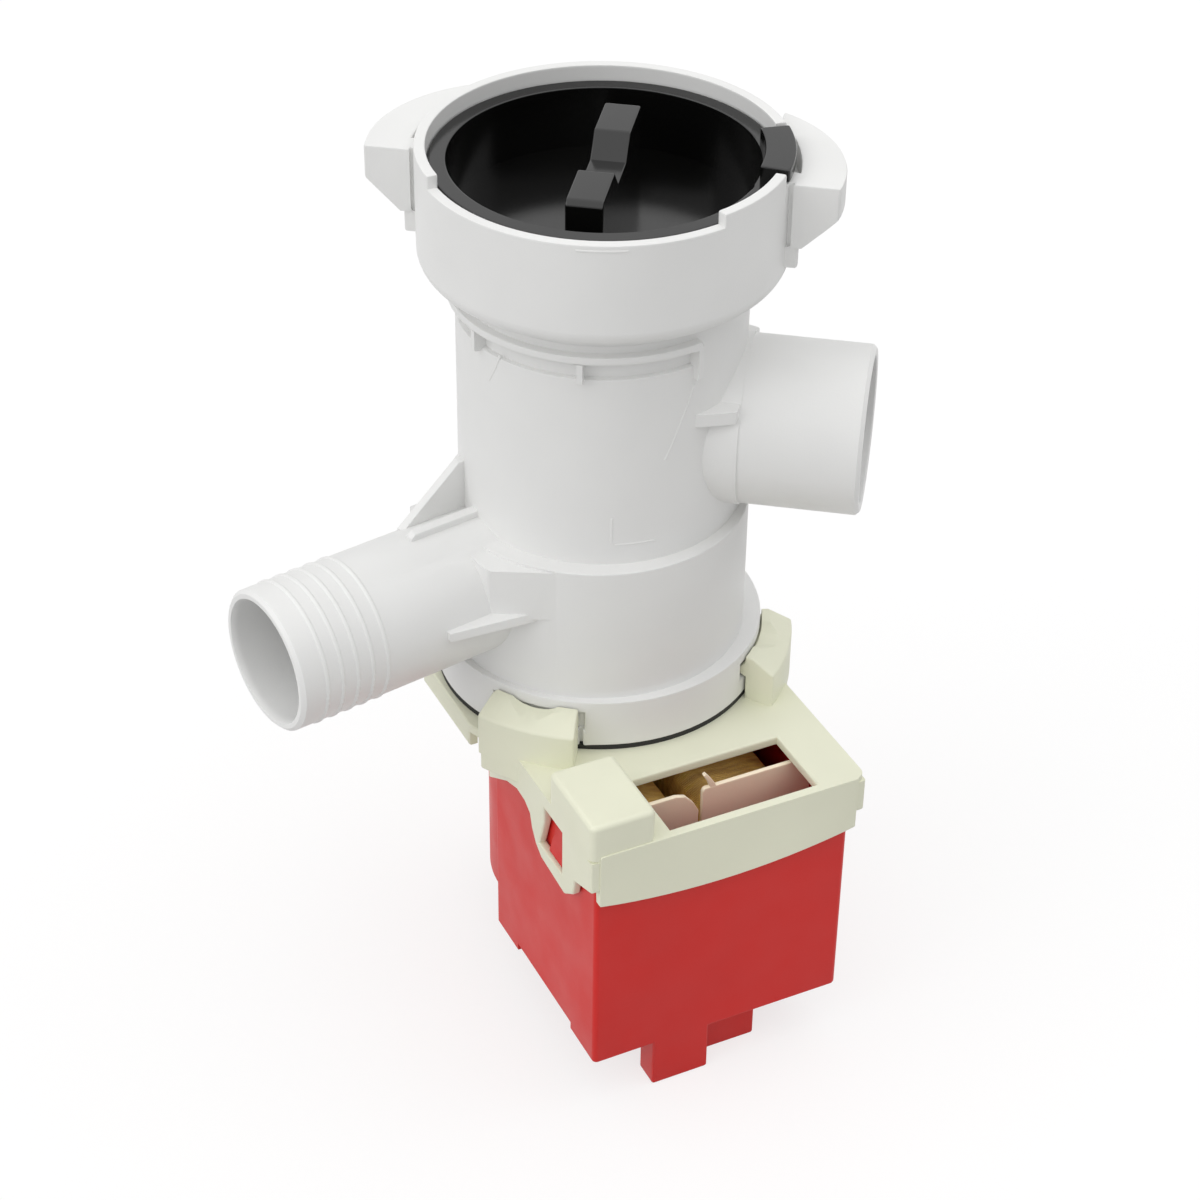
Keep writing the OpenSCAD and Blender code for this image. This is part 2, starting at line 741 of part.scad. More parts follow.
module filter_cap() {
    color([0.06, 0.06, 0.06]) difference() {
        union() {
            cap_body();
            rotate([0, 0, inlet_angle]) {
                grip();
                sector(lug_in, lug_neck, cap_z + cut, lug_z + cut, lug_start, lug_end);
                sector(lug_in, collar_r + lug_over, lug_z, lug_z + lug_t, lug_start, lug_end);
            }
        }
        ring(cup_r + cut, cap_seal_mid - cap_seal_r, cap_seal_z - cap_seal_r, 2 * cap_seal_r);
    }
}

module cap_seal() {
    color("dimgray") torus(cap_seal_mid, cap_seal_r, cap_seal_z);
}

module filter_basket() {
    hoop_step = (basket_neck - basket_z - basket_ring_h) / basket_hoops;
    bar_step = 240 / (basket_bars - 1);
    color("lightgray") {
        rotate_extrude() polygon([
            [basket_r - basket_wall, basket_neck - basket_ring_h], [basket_r, basket_neck - basket_ring_h],
            [basket_r, basket_neck], [basket_top_r, basket_neck + 0.5], [basket_top_r, cup_z],
            [basket_r - basket_wall, cup_z]
        ]);
        ring(basket_r, basket_r - basket_wall, basket_z, basket_ring_h);
        for (i = [1 : basket_hoops - 1])
            sector(basket_r - basket_wall, basket_r, basket_z + i * hoop_step,
                   basket_z + i * hoop_step + basket_ring_h, inlet_angle + 60, inlet_angle + 300);
        for (i = [0 : basket_bars - 1]) rotate([0, 0, inlet_angle + 60 + bar_step * i])
            block(basket_r - basket_wall + 0.2, basket_r - 0.2, -basket_bar_w / 2, basket_bar_w / 2,
                  basket_z, basket_neck);
        for (a = [0 : 60 : 120]) rotate([0, 0, inlet_angle + a])
            block(-basket_r + basket_wall / 2, basket_r - basket_wall / 2,
                  -basket_bar_w / 2, basket_bar_w / 2, basket_z, basket_z + basket_wall);
    }
}

// Motor cover
module cover_outline() {
    corner = 1.2;
    rounded(-cover_x, cover_x, -cover_front, -cover_back, corner);
    circle(r = nose_r);
    translate([-nose_r, -cover_back - 2 * corner]) square([2 * nose_r, cover_back + 2 * corner]);
}

module cover_inside() {
    inner = nose_r - cover_wall;
    translate([-cover_x + cover_wall, -cover_in_y])
        square([cover_w - 2 * cover_wall, cover_d - 2 * cover_wall]);
    circle(r = inner);
    translate([-inner, -cover_back - 3 * cover_wall]) square([2 * inner, cover_back + 3 * cover_wall]);
}

module motor_cover() {
    color("firebrick") difference() {
        union() {
            difference() {
                translate([0, 0, cover_z]) linear_extrude(cover_h) cover_outline();
                translate([0, 0, floor_z]) linear_extrude(cover_h) cover_inside();
            }
            cylinder(r = rear_foot_r, h = foot_h + cut);
            translate([0, 0, floor_z - cut]) cylinder(r = grommet_r + can_wall, h = can_seat + cut);
            block(front_foot_x, front_foot_x + front_foot_w, -cover_front, shroud_y + shroud_wall,
                  0, foot_h + cut);
            block(shroud_x - shroud_w / 2, shroud_x + shroud_w / 2, shroud_y, shroud_y + shroud_d,
                  0, foot_h + cut);
            for (side = [-1, 1]) {
                block(side * leg_x - post_w / 2, side * leg_x + post_w / 2,
                      -yoke_front + cut, -yoke_back - cut, floor_z - cut, core_z);
                block(side * (shoe_x - post_w / 2) - post_w / 2, side * (shoe_x - post_w / 2) + post_w / 2,
                      -post_w, post_w, floor_z - cut, core_z);
            }
            for (side = [0, 1]) mirror([side, 0, 0]) translate([cover_x, catch_y, catch_z])
                rotate([90, 0, 0]) linear_extrude(2 * catch_half, center = true)
                    polygon([[-cut, 0], [catch_reach, 0], [0, catch_h], [-cut, catch_h]]);
        }
        block(shroud_x - shroud_w / 2 + shroud_wall, shroud_x + shroud_w / 2 - shroud_wall,
              shroud_y + shroud_wall, shroud_y + shroud_d - shroud_wall, -cut, cover_z);
        for (side = [-1, 1]) {
            x = shroud_x + side * terminal_pitch / 2;
            block(x - terminal_w / 2 - bobbin_gap, x + terminal_w / 2 + bobbin_gap,
                  terminal_y - terminal_t / 2 - bobbin_gap, terminal_y + terminal_t / 2 + bobbin_gap,
                  cover_z - cut, floor_z + cut);
            block(side * cover_x - cover_wall / 2, side * cover_x + cover_wall / 2,
                  -cover_front + cover_d / 2 - notch_l / 2, -cover_front + cover_d / 2 + notch_l / 2,
                  cover_z - cut, cover_z + notch_h);
        }
    }
}

// Motor plate
// Side of the skirt, with the loop that snaps over the cover's catch. Points run along Y and up.
module skirt_side() {
    y0 = -skirt_front - skirt_wall;
    z = plate_z;
    loop_z = z - loop_drop;
    back = catch_y + catch_half + loop_gap + loop_slant;
    front = catch_y - catch_half - loop_gap;
    rotate([90, 0, 90]) linear_extrude(skirt_wall) difference() {
        polygon([
            [y0, z], [y0, z - skirt_drop], [front - loop_strap - 2, z - skirt_drop - 3],
            [front - loop_strap - 1, loop_z + 3], [front - loop_strap + 3, loop_z], [back - 1, loop_z + 1],
            [back + 2, loop_z + 3], [back + 4, loop_z + 6], [back + 5, loop_z + 9],
            [back + 7.5, z - skirt_drop], [back + 11.5, z - skirt_drop + 0.3],
            [back + 17, z - skirt_drop - 1.6],
            [-skirt_end, z - skirt_drop - 7.6], [-skirt_end, z]
        ]);
        polygon([
            [front, loop_z + loop_strap], [back, loop_z + loop_strap], [back - loop_slant, loop_z + 12],
            [back - loop_slant, z - 1.5], [front, z - 1.5]
        ]);
    }
}

module front_band() {
    translate([0, -skirt_front, 0]) rotate([90, 0, 0]) linear_extrude(skirt_wall + 0.3) intersection() {
        translate([-skirt_x, plate_top - band_h - band_bow]) square([2 * skirt_x, band_h + band_bow]);
        translate([0, plate_top - band_h - band_bow + band_r]) circle(r = band_r);
    }
    block(-skirt_out, skirt_out, -skirt_front - skirt_wall, -skirt_front,
          plate_z - skirt_drop, plate_z + cut);
}

module clip() {
    nose = pocket_depth - pocket_gap;
    hook_z = pocket_z + pocket_gap;
    difference() {
        rotate([0, 0, -clip_half]) rotate_extrude(angle = 2 * clip_half) polygon([
            [clip_r, plate_z + clip_step], [clip_r, hook_z], [clip_r - clip_gap - nose, hook_z + 0.6],
            [clip_r - clip_gap - nose, hook_z + 2.6], [clip_r, pocket_z + pocket_h - pocket_gap],
            [clip_r, clip_z], [clip_r + 1.5, clip_z], [clip_out, clip_z - clip_fall],
            [clip_out, plate_z + clip_step]
        ]);
        translate([0, 0, clip_z + 8.5]) along_x(10, plate_r * 2);
    }
}

// Skirts under the clips, outside the motor cover
module clip_skirts() {
    difference() {
        for (a = clip_angles)
            sector(clip_out - 0.3 - skirt_wall, clip_out - 0.3, plate_z - round_skirt_h - 0.4,
                   plate_z + cut, a - clip_half + 0.5, a + clip_half - 0.5);
        block(-skirt_x - skirt_wall / 2, skirt_x + skirt_wall / 2, -plate_r * 2, 0, 0, plate_top);
    }
}

// Round part of the plate, with its two flats
module plate_round(inset) {
    intersection() {
        circle(r = plate_r - inset);
        square([2 * (plate_flat - inset), 3 * plate_r], center = true);
    }
}

module plate_solid() {
    difference() {
        translate([0, 0, plate_z]) linear_extrude(plate_t) {
            plate_round(0);
            rounded(-skirt_out, skirt_out, -skirt_front - skirt_wall, -cover_back, 2.5);
        }
        block(-window_left, window_right, -skirt_front, -window_back, plate_z - cut, plate_top + cut);
    }
    difference() {
        translate([0, 0, plate_z - round_skirt_h]) linear_extrude(round_skirt_h + cut) difference() {
            plate_round(0);
            plate_round(skirt_wall);
        }
        block(-plate_r * 2, plate_r * 2, -plate_r * 2, -cover_back - skirt_wall, 0, plate_top);
    }
    for (side = [0, 1]) mirror([side, 0, 0]) translate([skirt_x, 0, 0]) skirt_side();
    front_band();
    translate([0, 0, plate_top - cut]) linear_extrude(block_h + cut)
        rounded(-skirt_out, block_w - skirt_out, -skirt_front - skirt_wall,
                block_d - skirt_front - skirt_wall, 1.5);
    ring(locate_r, locate_r - wall, plate_top - cut, locate_h + cut);
    for (a = clip_angles) rotate([0, 0, a]) clip();
    clip_skirts();
    for (side = [-1, 1])
        block(side * (shoe_x - post_w / 2) - post_w / 2, side * (shoe_x - post_w / 2) + post_w / 2,
              -post_w, post_w, core_top, plate_z + cut);
    translate([0, 0, can_step - can_wall]) cylinder(r = can_out, h = plate_z - can_step + can_wall + cut);
    translate([0, 0, can_z]) cylinder(r = grommet_r + can_wall, h = can_step - can_z);
}

module motor_plate() {
    color("beige") difference() {
        plate_solid();
        translate([0, 0, can_step]) cylinder(r = can_r, h = plate_top - can_step + cut);
        translate([0, 0, pocket_floor]) cylinder(r = grommet_r, h = grommet_h + cut);
        block(-skirt_x + skirt_wall, block_w - skirt_out - skirt_wall, -skirt_front + skirt_wall,
              block_d - skirt_front - 2 * skirt_wall, plate_z - cut, plate_top + block_h - skirt_wall);
    }
}

// Stator
module pole() {
    color("slategray") translate([0, 0, core_z]) linear_extrude(core_h) difference() {
        union() {
            translate([leg_x - leg_w / 2, -yoke_back]) square([leg_w, yoke_back - shoe_y + cut]);
            intersection() {
                translate([shoe_gap / 2, -shoe_y]) square([shoe_x - shoe_gap / 2, 2 * shoe_y]);
                union() {
                    circle(r = shoe_round_r);
                    translate([0, -shoe_y - cut]) square([shoe_x + cut, shoe_y + cut]);
                }
            }
        }
        circle(r = bore_gap_r);
    }
}

module pole_left() {
    mirror([1, 0, 0]) pole();
}

module pole_right() {
    pole();
}

module stator_yoke() {
    half = leg_x + leg_w / 2;
    color("slategray") block(-half, half, -yoke_front, -yoke_back, core_z, core_top);
}

// Flange with two cut corners at its top. Sides are measured from the middle of the leg.
module bobbin_flange(y, top, inner, outer, inner_cut, outer_cut) {
    translate([leg_x, y + bobbin_t, 0]) rotate([90, 0, 0]) linear_extrude(bobbin_t)
        polygon([
            [inner, bobbin_bottom], [outer, bobbin_bottom], [outer, top - 1.4 * outer_cut],
            [outer - 0.4 * outer_cut, top - outer_cut / 2], [outer - outer_cut, top],
            [inner + inner_cut, top], [inner + 0.6 * inner_cut, top - 0.12 * inner_cut],
            [inner + 0.24 * inner_cut, top - 0.54 * inner_cut], [inner, top - inner_cut]
        ]);
}

module bobbin(inner_cut) {
    half = turn_x + wire_r + flange_margin;
    inner = coil_gap / 2 - leg_x;
    color("lightsalmon") difference() {
        union() {
            block(leg_x - tube_x / 2, leg_x + tube_x / 2, front_flange_y, coil_back + bobbin_t,
                  core_mid - tube_z / 2, core_mid + tube_z / 2);
            bobbin_flange(front_flange_y, core_mid + turn_z + wire_r + flange_rise,
                          0.35 - leg_x, half + flange_extra, inner_cut, 3.9);
            bobbin_flange(coil_back, core_mid + turn_z + wire_r + flange_margin, inner + 0.3, half, 1, 2);
        }
        block(leg_x - leg_w / 2 - bobbin_gap, leg_x + leg_w / 2 + bobbin_gap, front_flange_y - cut,
              coil_back + bobbin_t + cut, core_z - bobbin_gap, core_top + bobbin_gap);
    }
}

module bobbin_left() {
    mirror([1, 0, 0]) bobbin(5.6);
}

module bobbin_right() {
    bobbin(0.9);
}

module coil() {
    color("peru") difference() {
        translate([leg_x, coil_back, core_mid]) rotate([90, 0, 0]) linear_extrude(coil_l)
            rounded(-coil_x / 2, coil_x / 2, -coil_z / 2, coil_z / 2, turn_corner + 0.6);
        block(leg_x - tube_x / 2, leg_x + tube_x / 2, coil_front - cut, coil_back + cut,
              core_mid - tube_z / 2, core_mid + tube_z / 2);
    }
}

module coil_left() {
    mirror([1, 0, 0]) coil();
}

module coil_right() {
    coil();
}

// Outer layer of turns, one wire from the front flange to the back flange.
// A turn has four sides and four corners, and steps 0 to 15 go once round it.
function turn_heading(k) = -90 + 90 * floor(k / 4) + (k % 4 == 0 ? 0 : 45 * (k % 4 - 1));
function turn_point(k) =
    let (a = turn_heading(k), quarter = floor(k / 4))
    let (right = quarter < 2 ? 1 : -1, up = quarter == 1 || quarter == 2 ? 1 : -1)
    k % 4 == 0
        ? [turn_x * cos(a), turn_z * sin(a)]
        : [right * (turn_x - turn_corner) + turn_corner * cos(a),
           up * (turn_z - turn_corner) + turn_corner * sin(a)];
first_y = coil_front + wire_gap + tail + bend_r;
last_y = first_y + turn_pitch * turns;
wire_path = concat(
    [[-bend_r, first_y - bend_r - tail, -turn_z], [-bend_r, first_y - bend_r, -turn_z]],
    [for (a = [150, 120]) [bend_r * cos(a), first_y - bend_r + bend_r * sin(a), -turn_z]],
    [for (i = [0 : turns * rings_per_turn])
        let (p = turn_point(i % rings_per_turn)) [p[0], first_y + turn_pitch * i / rings_per_turn, p[1]]],
    [for (a = [-60, -30, 0]) [bend_r * cos(a), last_y + bend_r + bend_r * sin(a), -turn_z]],
    [[bend_r, last_y + bend_r + tail, -turn_z]]
);
lead = 4;
wire_rings = len(wire_path);
function wire_out(i) =
    let (k = i - lead, a = turn_heading(k % rings_per_turn))
    k < 0 || k > turns * rings_per_turn ? [0, 0, -1] : [cos(a), 0, sin(a)];
function unit(v) = v / norm(v);
function wire_heading(i) = unit(wire_path[min(i + 1, wire_rings - 1)] - wire_path[max(i - 1, 0)]);
function wire_ring(i) =
    let (t = wire_heading(i), b = unit(cross(t, wire_out(i))), n = cross(b, t))
    [for (s = [0 : tube_sides - 1])
        wire_path[i] + wire_r * (cos(s * 360 / tube_sides) * n + sin(s * 360 / tube_sides) * b)];
wire_points = [for (i = [0 : wire_rings - 1]) each wire_ring(i)];
wire_faces = concat(
    [for (i = [0 : wire_rings - 2], s = [0 : tube_sides - 1])
        let (a = i * tube_sides + s, b = i * tube_sides + (s + 1) % tube_sides)
        each [[a, b, a + tube_sides], [b, b + tube_sides, a + tube_sides]]],
    [for (s = [1 : tube_sides - 2]) [0, s + 1, s]],
    [for (s = [1 : tube_sides - 2]) let (o = (wire_rings - 1) * tube_sides) [o, o + s, o + s + 1]]
);
wire_least_gap = min([for (i = [0 : wire_rings - 1 - 8], j = [i + 8 : min(i + 24, wire_rings - 1)])
    norm(wire_path[i] - wire_path[j])]) - 2 * wire_r;

module outer_turns() {
    echo(least_gap_between_turns = wire_least_gap);
    color("darkgoldenrod") translate([leg_x, 0, core_mid]) polyhedron(wire_points, wire_faces);
}

module turns_left() {
    mirror([1, 0, 0]) outer_turns();
}

module turns_right() {
    outer_turns();
}

module terminal(side) {
    x = shroud_x + side * terminal_pitch / 2;
    tip = 1.2;
    color("silver") translate([x, terminal_y + terminal_t / 2, 0]) rotate([90, 0, 0])
        linear_extrude(terminal_t) difference() {
            polygon([[-terminal_w / 2 + tip, terminal_recess], [terminal_w / 2 - tip, terminal_recess],
                     [terminal_w / 2, terminal_recess + tip], [terminal_w / 2, terminal_top],
                     [-terminal_w / 2, terminal_top], [-terminal_w / 2, terminal_recess + tip]]);
            translate([0, terminal_recess + 3.5]) circle(r = 0.9);
        }
}

module terminal_left() {
    terminal(-1);
}

module terminal_right() {
    terminal(1);
}

// Rotor and its bearings
module rotor_magnet() {
    color("dimgray") ring(magnet_r, magnet_bore_r, magnet_z, magnet_l);
}

module rotor_hub() {
    color("ivory") difference() {
        union() {
            translate([0, 0, magnet_z]) cylinder(r = magnet_bore_r, h = magnet_l);
            for (z = [magnet_z - hub_flange_t, magnet_z + magnet_l])
                translate([0, 0, z]) cylinder(r = magnet_bore_r + 3, h = hub_flange_t);
            translate([0, 0, hub_bottom]) cylinder(r = washer_r, h = rotor_hub_top - hub_bottom);
        }
        translate([0, 0, hub_bottom - cut]) cylinder(r = shaft_r, h = rotor_hub_top - hub_bottom + 2 * cut);
    }
}

module rotor_shaft() {
    bottom = pocket_floor + 0.5;
    color("lightsteelblue") rotate_extrude() polygon([
        [0, bottom], [shaft_r - 0.5, bottom], [shaft_r, bottom + 0.5], [shaft_r, shaft_top - 0.5],
        [shaft_r - 0.5, shaft_top], [0, shaft_top]
    ]);
}

module rear_grommet() {
    color("black") ring(grommet_r, bearing_r, pocket_floor, grommet_h);
}

module bearing(z) {
    color("darkslategray") ring(bearing_r, shaft_r + shaft_gap, z, bearing_l);
}

module rear_bearing() {
    bearing(rear_bearing_z);
}

module front_bearing() {
    bearing(carrier_z);
}

module washer(z) {
    color("tan") ring(washer_r, shaft_r, z, washer_t);
}

module rear_washer() {
    washer(rear_washer_z);
}

module front_washer() {
    washer(front_washer_z);
}

module bearing_carrier() {
    hub = bearing_r + wall;
    body_z = carrier_seal_z - carrier_seal_r - 1.5;
    color("gainsboro") difference() {
        union() {
            translate([0, 0, plate_top]) cylinder(r = carrier_r, h = carrier_t);
            translate([0, 0, body_z]) cylinder(r = carrier_body_r, h = plate_top - body_z + carrier_t);
            translate([0, 0, carrier_z]) cylinder(r = hub, h = carrier_d);
        }
        translate([0, 0, carrier_z - cut]) cylinder(r = bearing_r, h = bearing_l + cut);
        translate([0, 0, carrier_z]) cylinder(r = shaft_r + clutch_gap, h = carrier_d + carrier_t + cut);
        ring(can_r + cut, can_r - 2 * carrier_seal_r, carrier_seal_z - carrier_seal_r, 2 * carrier_seal_r);
    }
}

module carrier_seal() {
    color("black") torus(can_r - carrier_seal_r, carrier_seal_r, carrier_seal_z);
}

// Start clutch and impeller
module clutch_driver() {
    color("goldenrod") difference() {
        union() {
            translate([0, 0, dog_z]) cylinder(r = dog_r, h = dog_h);
            sector(dog_r - cut, claw_r, dog_z, dog_z + dog_h, -claw_half, claw_half);
        }
        translate([0, 0, dog_z - cut]) cylinder(r = shaft_r, h = dog_h + 2 * cut);
    }
}

module shaft_clip() {
    color("silver") ring(shaft_r + 2.5, shaft_r, nose_z + 0.2, clip_t);
}

module impeller_blade() {
    bend = impeller_r;
    translate([0, 0, impeller_z + disc_t / 2]) linear_extrude(hub_h - 3 - disc_t / 2) intersection() {
        difference() {
            circle(r = impeller_r - 0.4);
            circle(r = hub_r - 0.6);
        }
        translate([0, bend]) difference() {
            circle(r = bend + blade_t / 2);
            circle(r = bend - blade_t / 2);
        }
        translate([0, -impeller_r]) square([impeller_r, 2 * impeller_r]);
    }
}

module impeller() {
    color("white") difference() {
        union() {
            translate([0, 0, impeller_z]) cylinder(r = impeller_r, h = disc_t);
            translate([0, 0, impeller_z]) cylinder(r = hub_r, h = hub_h);
            for (i = [0 : blades - 1]) rotate([0, 0, 360 / blades * i]) impeller_blade();
        }
        difference() {
            translate([0, 0, impeller_z - cut]) cylinder(r = clutch_r, h = clutch_h + cut);
            sector(dog_r + clutch_gap, clutch_r + cut, dog_z, clutch_top + cut,
                   180 - claw_half, 180 + claw_half);
        }
        translate([0, 0, impeller_z]) cylinder(r = shaft_r + shaft_gap, h = hub_h + cut);
        translate([0, 0, nose_z]) cylinder(r = nose_plug_r + 0.05, h = nose_recess + cut);
    }
}

module impeller_nose() {
    plug = 1;
    top = impeller_z + hub_h;
    dome = hub_r - 0.5;
    dome_r = (dome * dome + nose_t * nose_t) / (2 * nose_t);
    color("white") {
        translate([0, 0, top - plug]) cylinder(r = nose_plug_r, h = plug);
        translate([0, 0, top]) intersection() {
            translate([0, 0, nose_t - dome_r]) sphere(r = dome_r);
            cylinder(r = dome, h = nose_t + cut);
        }
    }
}

pump_housing();
flange_gasket();
motor_plate();
motor_cover();
filter_cap();
cap_seal();
filter_basket();
pole_left();
pole_right();
stator_yoke();
bobbin_left();
bobbin_right();
coil_left();
coil_right();
turns_left();
turns_right();
terminal_left();
terminal_right();
rotor_magnet();
rotor_hub();
rotor_shaft();
rear_grommet();
rear_bearing();
front_bearing();
bearing_carrier();
carrier_seal();
rear_washer();
front_washer();
clutch_driver();
shaft_clip();
impeller();
impeller_nose();
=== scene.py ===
"""Looks of the washer drain pump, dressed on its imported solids.

Sizes are in metres, in the frame of the solids: +Z up the pump axis, coils towards -Y.
"""

import math

import bmesh
import bpy
from bpy.props import FloatProperty, FloatVectorProperty, IntProperty, PointerProperty
from mathutils import Matrix, Vector


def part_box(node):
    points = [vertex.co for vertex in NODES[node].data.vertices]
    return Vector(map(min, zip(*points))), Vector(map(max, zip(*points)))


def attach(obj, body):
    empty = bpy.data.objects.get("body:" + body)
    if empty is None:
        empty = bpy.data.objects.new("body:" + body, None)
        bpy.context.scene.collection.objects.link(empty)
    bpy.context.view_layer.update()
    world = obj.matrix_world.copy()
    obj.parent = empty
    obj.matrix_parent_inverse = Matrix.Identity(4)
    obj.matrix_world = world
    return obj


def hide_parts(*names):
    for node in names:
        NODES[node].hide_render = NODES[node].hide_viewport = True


bl_info = {
    "name": "Washer drain pump",
    "version": (1, 0, 0),
    "blender": (4, 5, 0),
    "location": "View3D > Sidebar > Pump",
    "description": "Dresses the packed solids of a washer drain pump and sets its stage",
    "category": "Object",
}

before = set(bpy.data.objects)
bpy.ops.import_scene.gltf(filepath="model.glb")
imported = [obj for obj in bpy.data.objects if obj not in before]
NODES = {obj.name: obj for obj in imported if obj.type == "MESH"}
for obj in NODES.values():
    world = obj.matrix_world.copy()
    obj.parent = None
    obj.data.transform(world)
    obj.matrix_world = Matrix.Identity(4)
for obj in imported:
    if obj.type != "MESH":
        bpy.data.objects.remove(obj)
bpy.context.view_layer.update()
MM = 0.001

# Rounding: the last three are in widths of the rounding
WELD = 1e-6
FLAT_ANGLE = math.radians(0.4)
SHARP_ANGLE = math.radians(33)
SMOOTH_ANGLE = math.radians(38)
FLAT_FACE_WEIGHT = 80
FACE_ROOM = 2.65
LONGEST_GAP = 8
NARROW_ROUND = 0.2

# Mould marks, as lines of angle in degrees and height in millimetres
TUBE_RADIUS = 30.5 * MM
TUBE_MARKS = (
    [(-111.5, z) for z in (130.0, 127.0, 124.0)],
    [(a, 123.4) for a in (-110.5, -106.0, -101.0, -97.0, -94.0)],
    [(-78.5, 158.5), (-81.0, 154.5), (-85.0, 149.5), (-88.5, 145.0), (-90.7, 142.6)],
    [(-158.0, 164.0), (-160.5, 160.5), (-164.5, 156.5)],
)
COLLAR_RADIUS = 38.1 * MM
COLLAR_MARK = [(-124.0 + 1.5 * i, 196.0) for i in range(11)]
MARK_SECTION = ((-0.5, -0.6), (-0.5, 0.4), (-0.22, 1.0), (0.22, 1.0), (0.5, 0.4), (0.5, -0.6))

# Windings: the step between layers is in wire radii
LAYERS = 2
LAYER_STEP = 1.7
POINTS_PER_TURN = 28
WINDING_CORNER = 4.6 * MM
CORNER_POINTS = 5
WIRE_SIDES = 6
STRAY_SCALE = 380.0

# Wire guide, from the left, top and front of the right bobbin: x, z and width in millimetres,
# and then its near and far side
GUIDE_LINE = (
    (2.8, -1.0, 1.7), (2.4, 0.4, 1.3), (1.8, 1.6, 1.05), (1.05, 2.8, 0.9), (0.45, 3.7, 0.7),
)
GUIDE_SIDES = (0.1 * MM, 1.1 * MM)

# Stage: name, way to the lamp, strength and spread in degrees
LAMPS = (
    ("top", (-0.2, -0.12, 0.97), 0.47, 110),
    ("left", (-0.92, 0.0, 0.4), 0.19, 50),
    ("right", (0.7, -0.05, 0.7), 0.1, 50),
)
WORLD_FILL = 0.49
FLOOR_HALF = 6.0
FLOOR_BOUNCE = 0.55
FLOOR_WHITE = 0.72
CAMERA_LENS = 84.015
CAMERA_PLACE = (-0.223444, -0.453940, 0.451757)
CAMERA_AHEAD = (0.358922, 0.727922, -0.584213)
CAMERA_RIGHT = (0.900334, -0.435059, 0.011059)


# Properties


def colour_prop(label, rgb, words):
    return FloatVectorProperty(
        name=label, description=words, subtype="COLOR", size=3, min=0, max=1, default=rgb
    )


def length_prop(label, value, words):
    return FloatProperty(
        name=label, description=words, subtype="DISTANCE", unit="LENGTH", min=0, default=value
    )


class PumpSizes(bpy.types.PropertyGroup):
    """Sizes of what is added to the solids."""

    housing_round: length_prop("Housing edges", 0.45 * MM, "Rounding of the housing's edges")
    plate_round: length_prop("Plate edges", 0.5 * MM, "Rounding of the motor plate's edges")
    clip_round: length_prop("Clip edges", 1.2 * MM, "Rounding of the clips and corner block")
    cover_round: length_prop("Cover edges", 0.6 * MM, "Rounding of the motor cover's edges")
    cap_round: length_prop("Cap edges", 0.45 * MM, "Rounding of the filter cap's edges")
    bobbin_round: length_prop("Bobbin edges", 0.35 * MM, "Rounding of the bobbins' edges")
    impeller_round: length_prop("Impeller edges", 0.3 * MM, "Rounding of the impeller's edges")
    guide_round: length_prop("Guide edges", 0.12 * MM, "Rounding of the wire guide's edges")
    wire_radius: length_prop("Wire radius", 0.24 * MM, "Radius of the winding wire")
    wire_wobble: length_prop("Wire wobble", 0.16 * MM, "How far the turns stray")
    mark_width: length_prop("Mark width", 0.5 * MM, "Width of the mould marks")
    mark_height: length_prop("Mark height", 0.12 * MM, "Height of the mould marks")
    turns: IntProperty(
        name="Turns", description="Turns in each layer of a winding", min=10, max=90, default=58
    )
    winding_seed: IntProperty(
        name="Winding seed", description="Seed of the stray of the turns", min=0, default=7
    )


class PumpFinish(bpy.types.PropertyGroup):
    """Colours of the pump's finishes."""

    housing: colour_prop("Housing", (0.80, 0.80, 0.79), "Moulded white of the housing")
    basket: colour_prop("Basket", (0.72, 0.72, 0.70), "Moulded white of the filter basket")
    plate: colour_prop("Plate", (0.80, 0.805, 0.64), "Moulded cream of the motor plate")
    cover: colour_prop("Cover", (0.64, 0.013, 0.009), "Moulded red of the motor cover")
    cap: colour_prop("Cap", (0.004, 0.004, 0.0038), "Moulded black of the filter cap")
    bobbin: colour_prop("Bobbin", (1.0, 0.84, 0.65), "Moulded salmon of the bobbins")
    copper: colour_prop("Copper", (1.0, 0.57, 0.16), "Enamelled winding wire")
    rubber: colour_prop("Rubber", (0.012, 0.012, 0.012), "Black rubber of the seals")
    lamination: colour_prop("Lamination", (0.16, 0.17, 0.19), "Varnished sheet steel")
    steel: colour_prop("Steel", (0.62, 0.63, 0.65), "Ground steel")
    ferrite: colour_prop("Ferrite", (0.045, 0.046, 0.05), "Ground ferrite of the rotor")
    tinned: colour_prop("Tinned", (0.66, 0.65, 0.62), "Tinned blades")
    rotor: colour_prop("Rotor", (0.60, 0.60, 0.55), "Moulded hub and impeller")
    carbon: colour_prop("Carbon", (0.035, 0.035, 0.036), "Sintered bearings")
    washer: colour_prop("Washer", (0.45, 0.35, 0.17), "Thrust washers")
    driver: colour_prop("Driver", (0.52, 0.27, 0.03), "Clutch driver")
    floor: colour_prop("Floor", (0.97, 0.97, 0.97), "Pale floor")


# Node helpers


def add_node(tree, kind, **settings):
    made = tree.nodes.new(kind)
    for key, value in settings.items():
        setattr(made, key, value)
    return made


def empty_tree(owner, kind):
    """The node tree of a material or a world, with its output alone."""
    owner.use_nodes = True
    tree = owner.node_tree
    tree.nodes.clear()
    return tree, add_node(tree, kind)


def new_material(name):
    made = bpy.data.materials.new(name)
    tree, out = empty_tree(made, "ShaderNodeOutputMaterial")
    shader = add_node(tree, "ShaderNodeBsdfPrincipled")
    tree.links.new(shader.outputs[0], out.inputs[0])
    return made, tree, shader


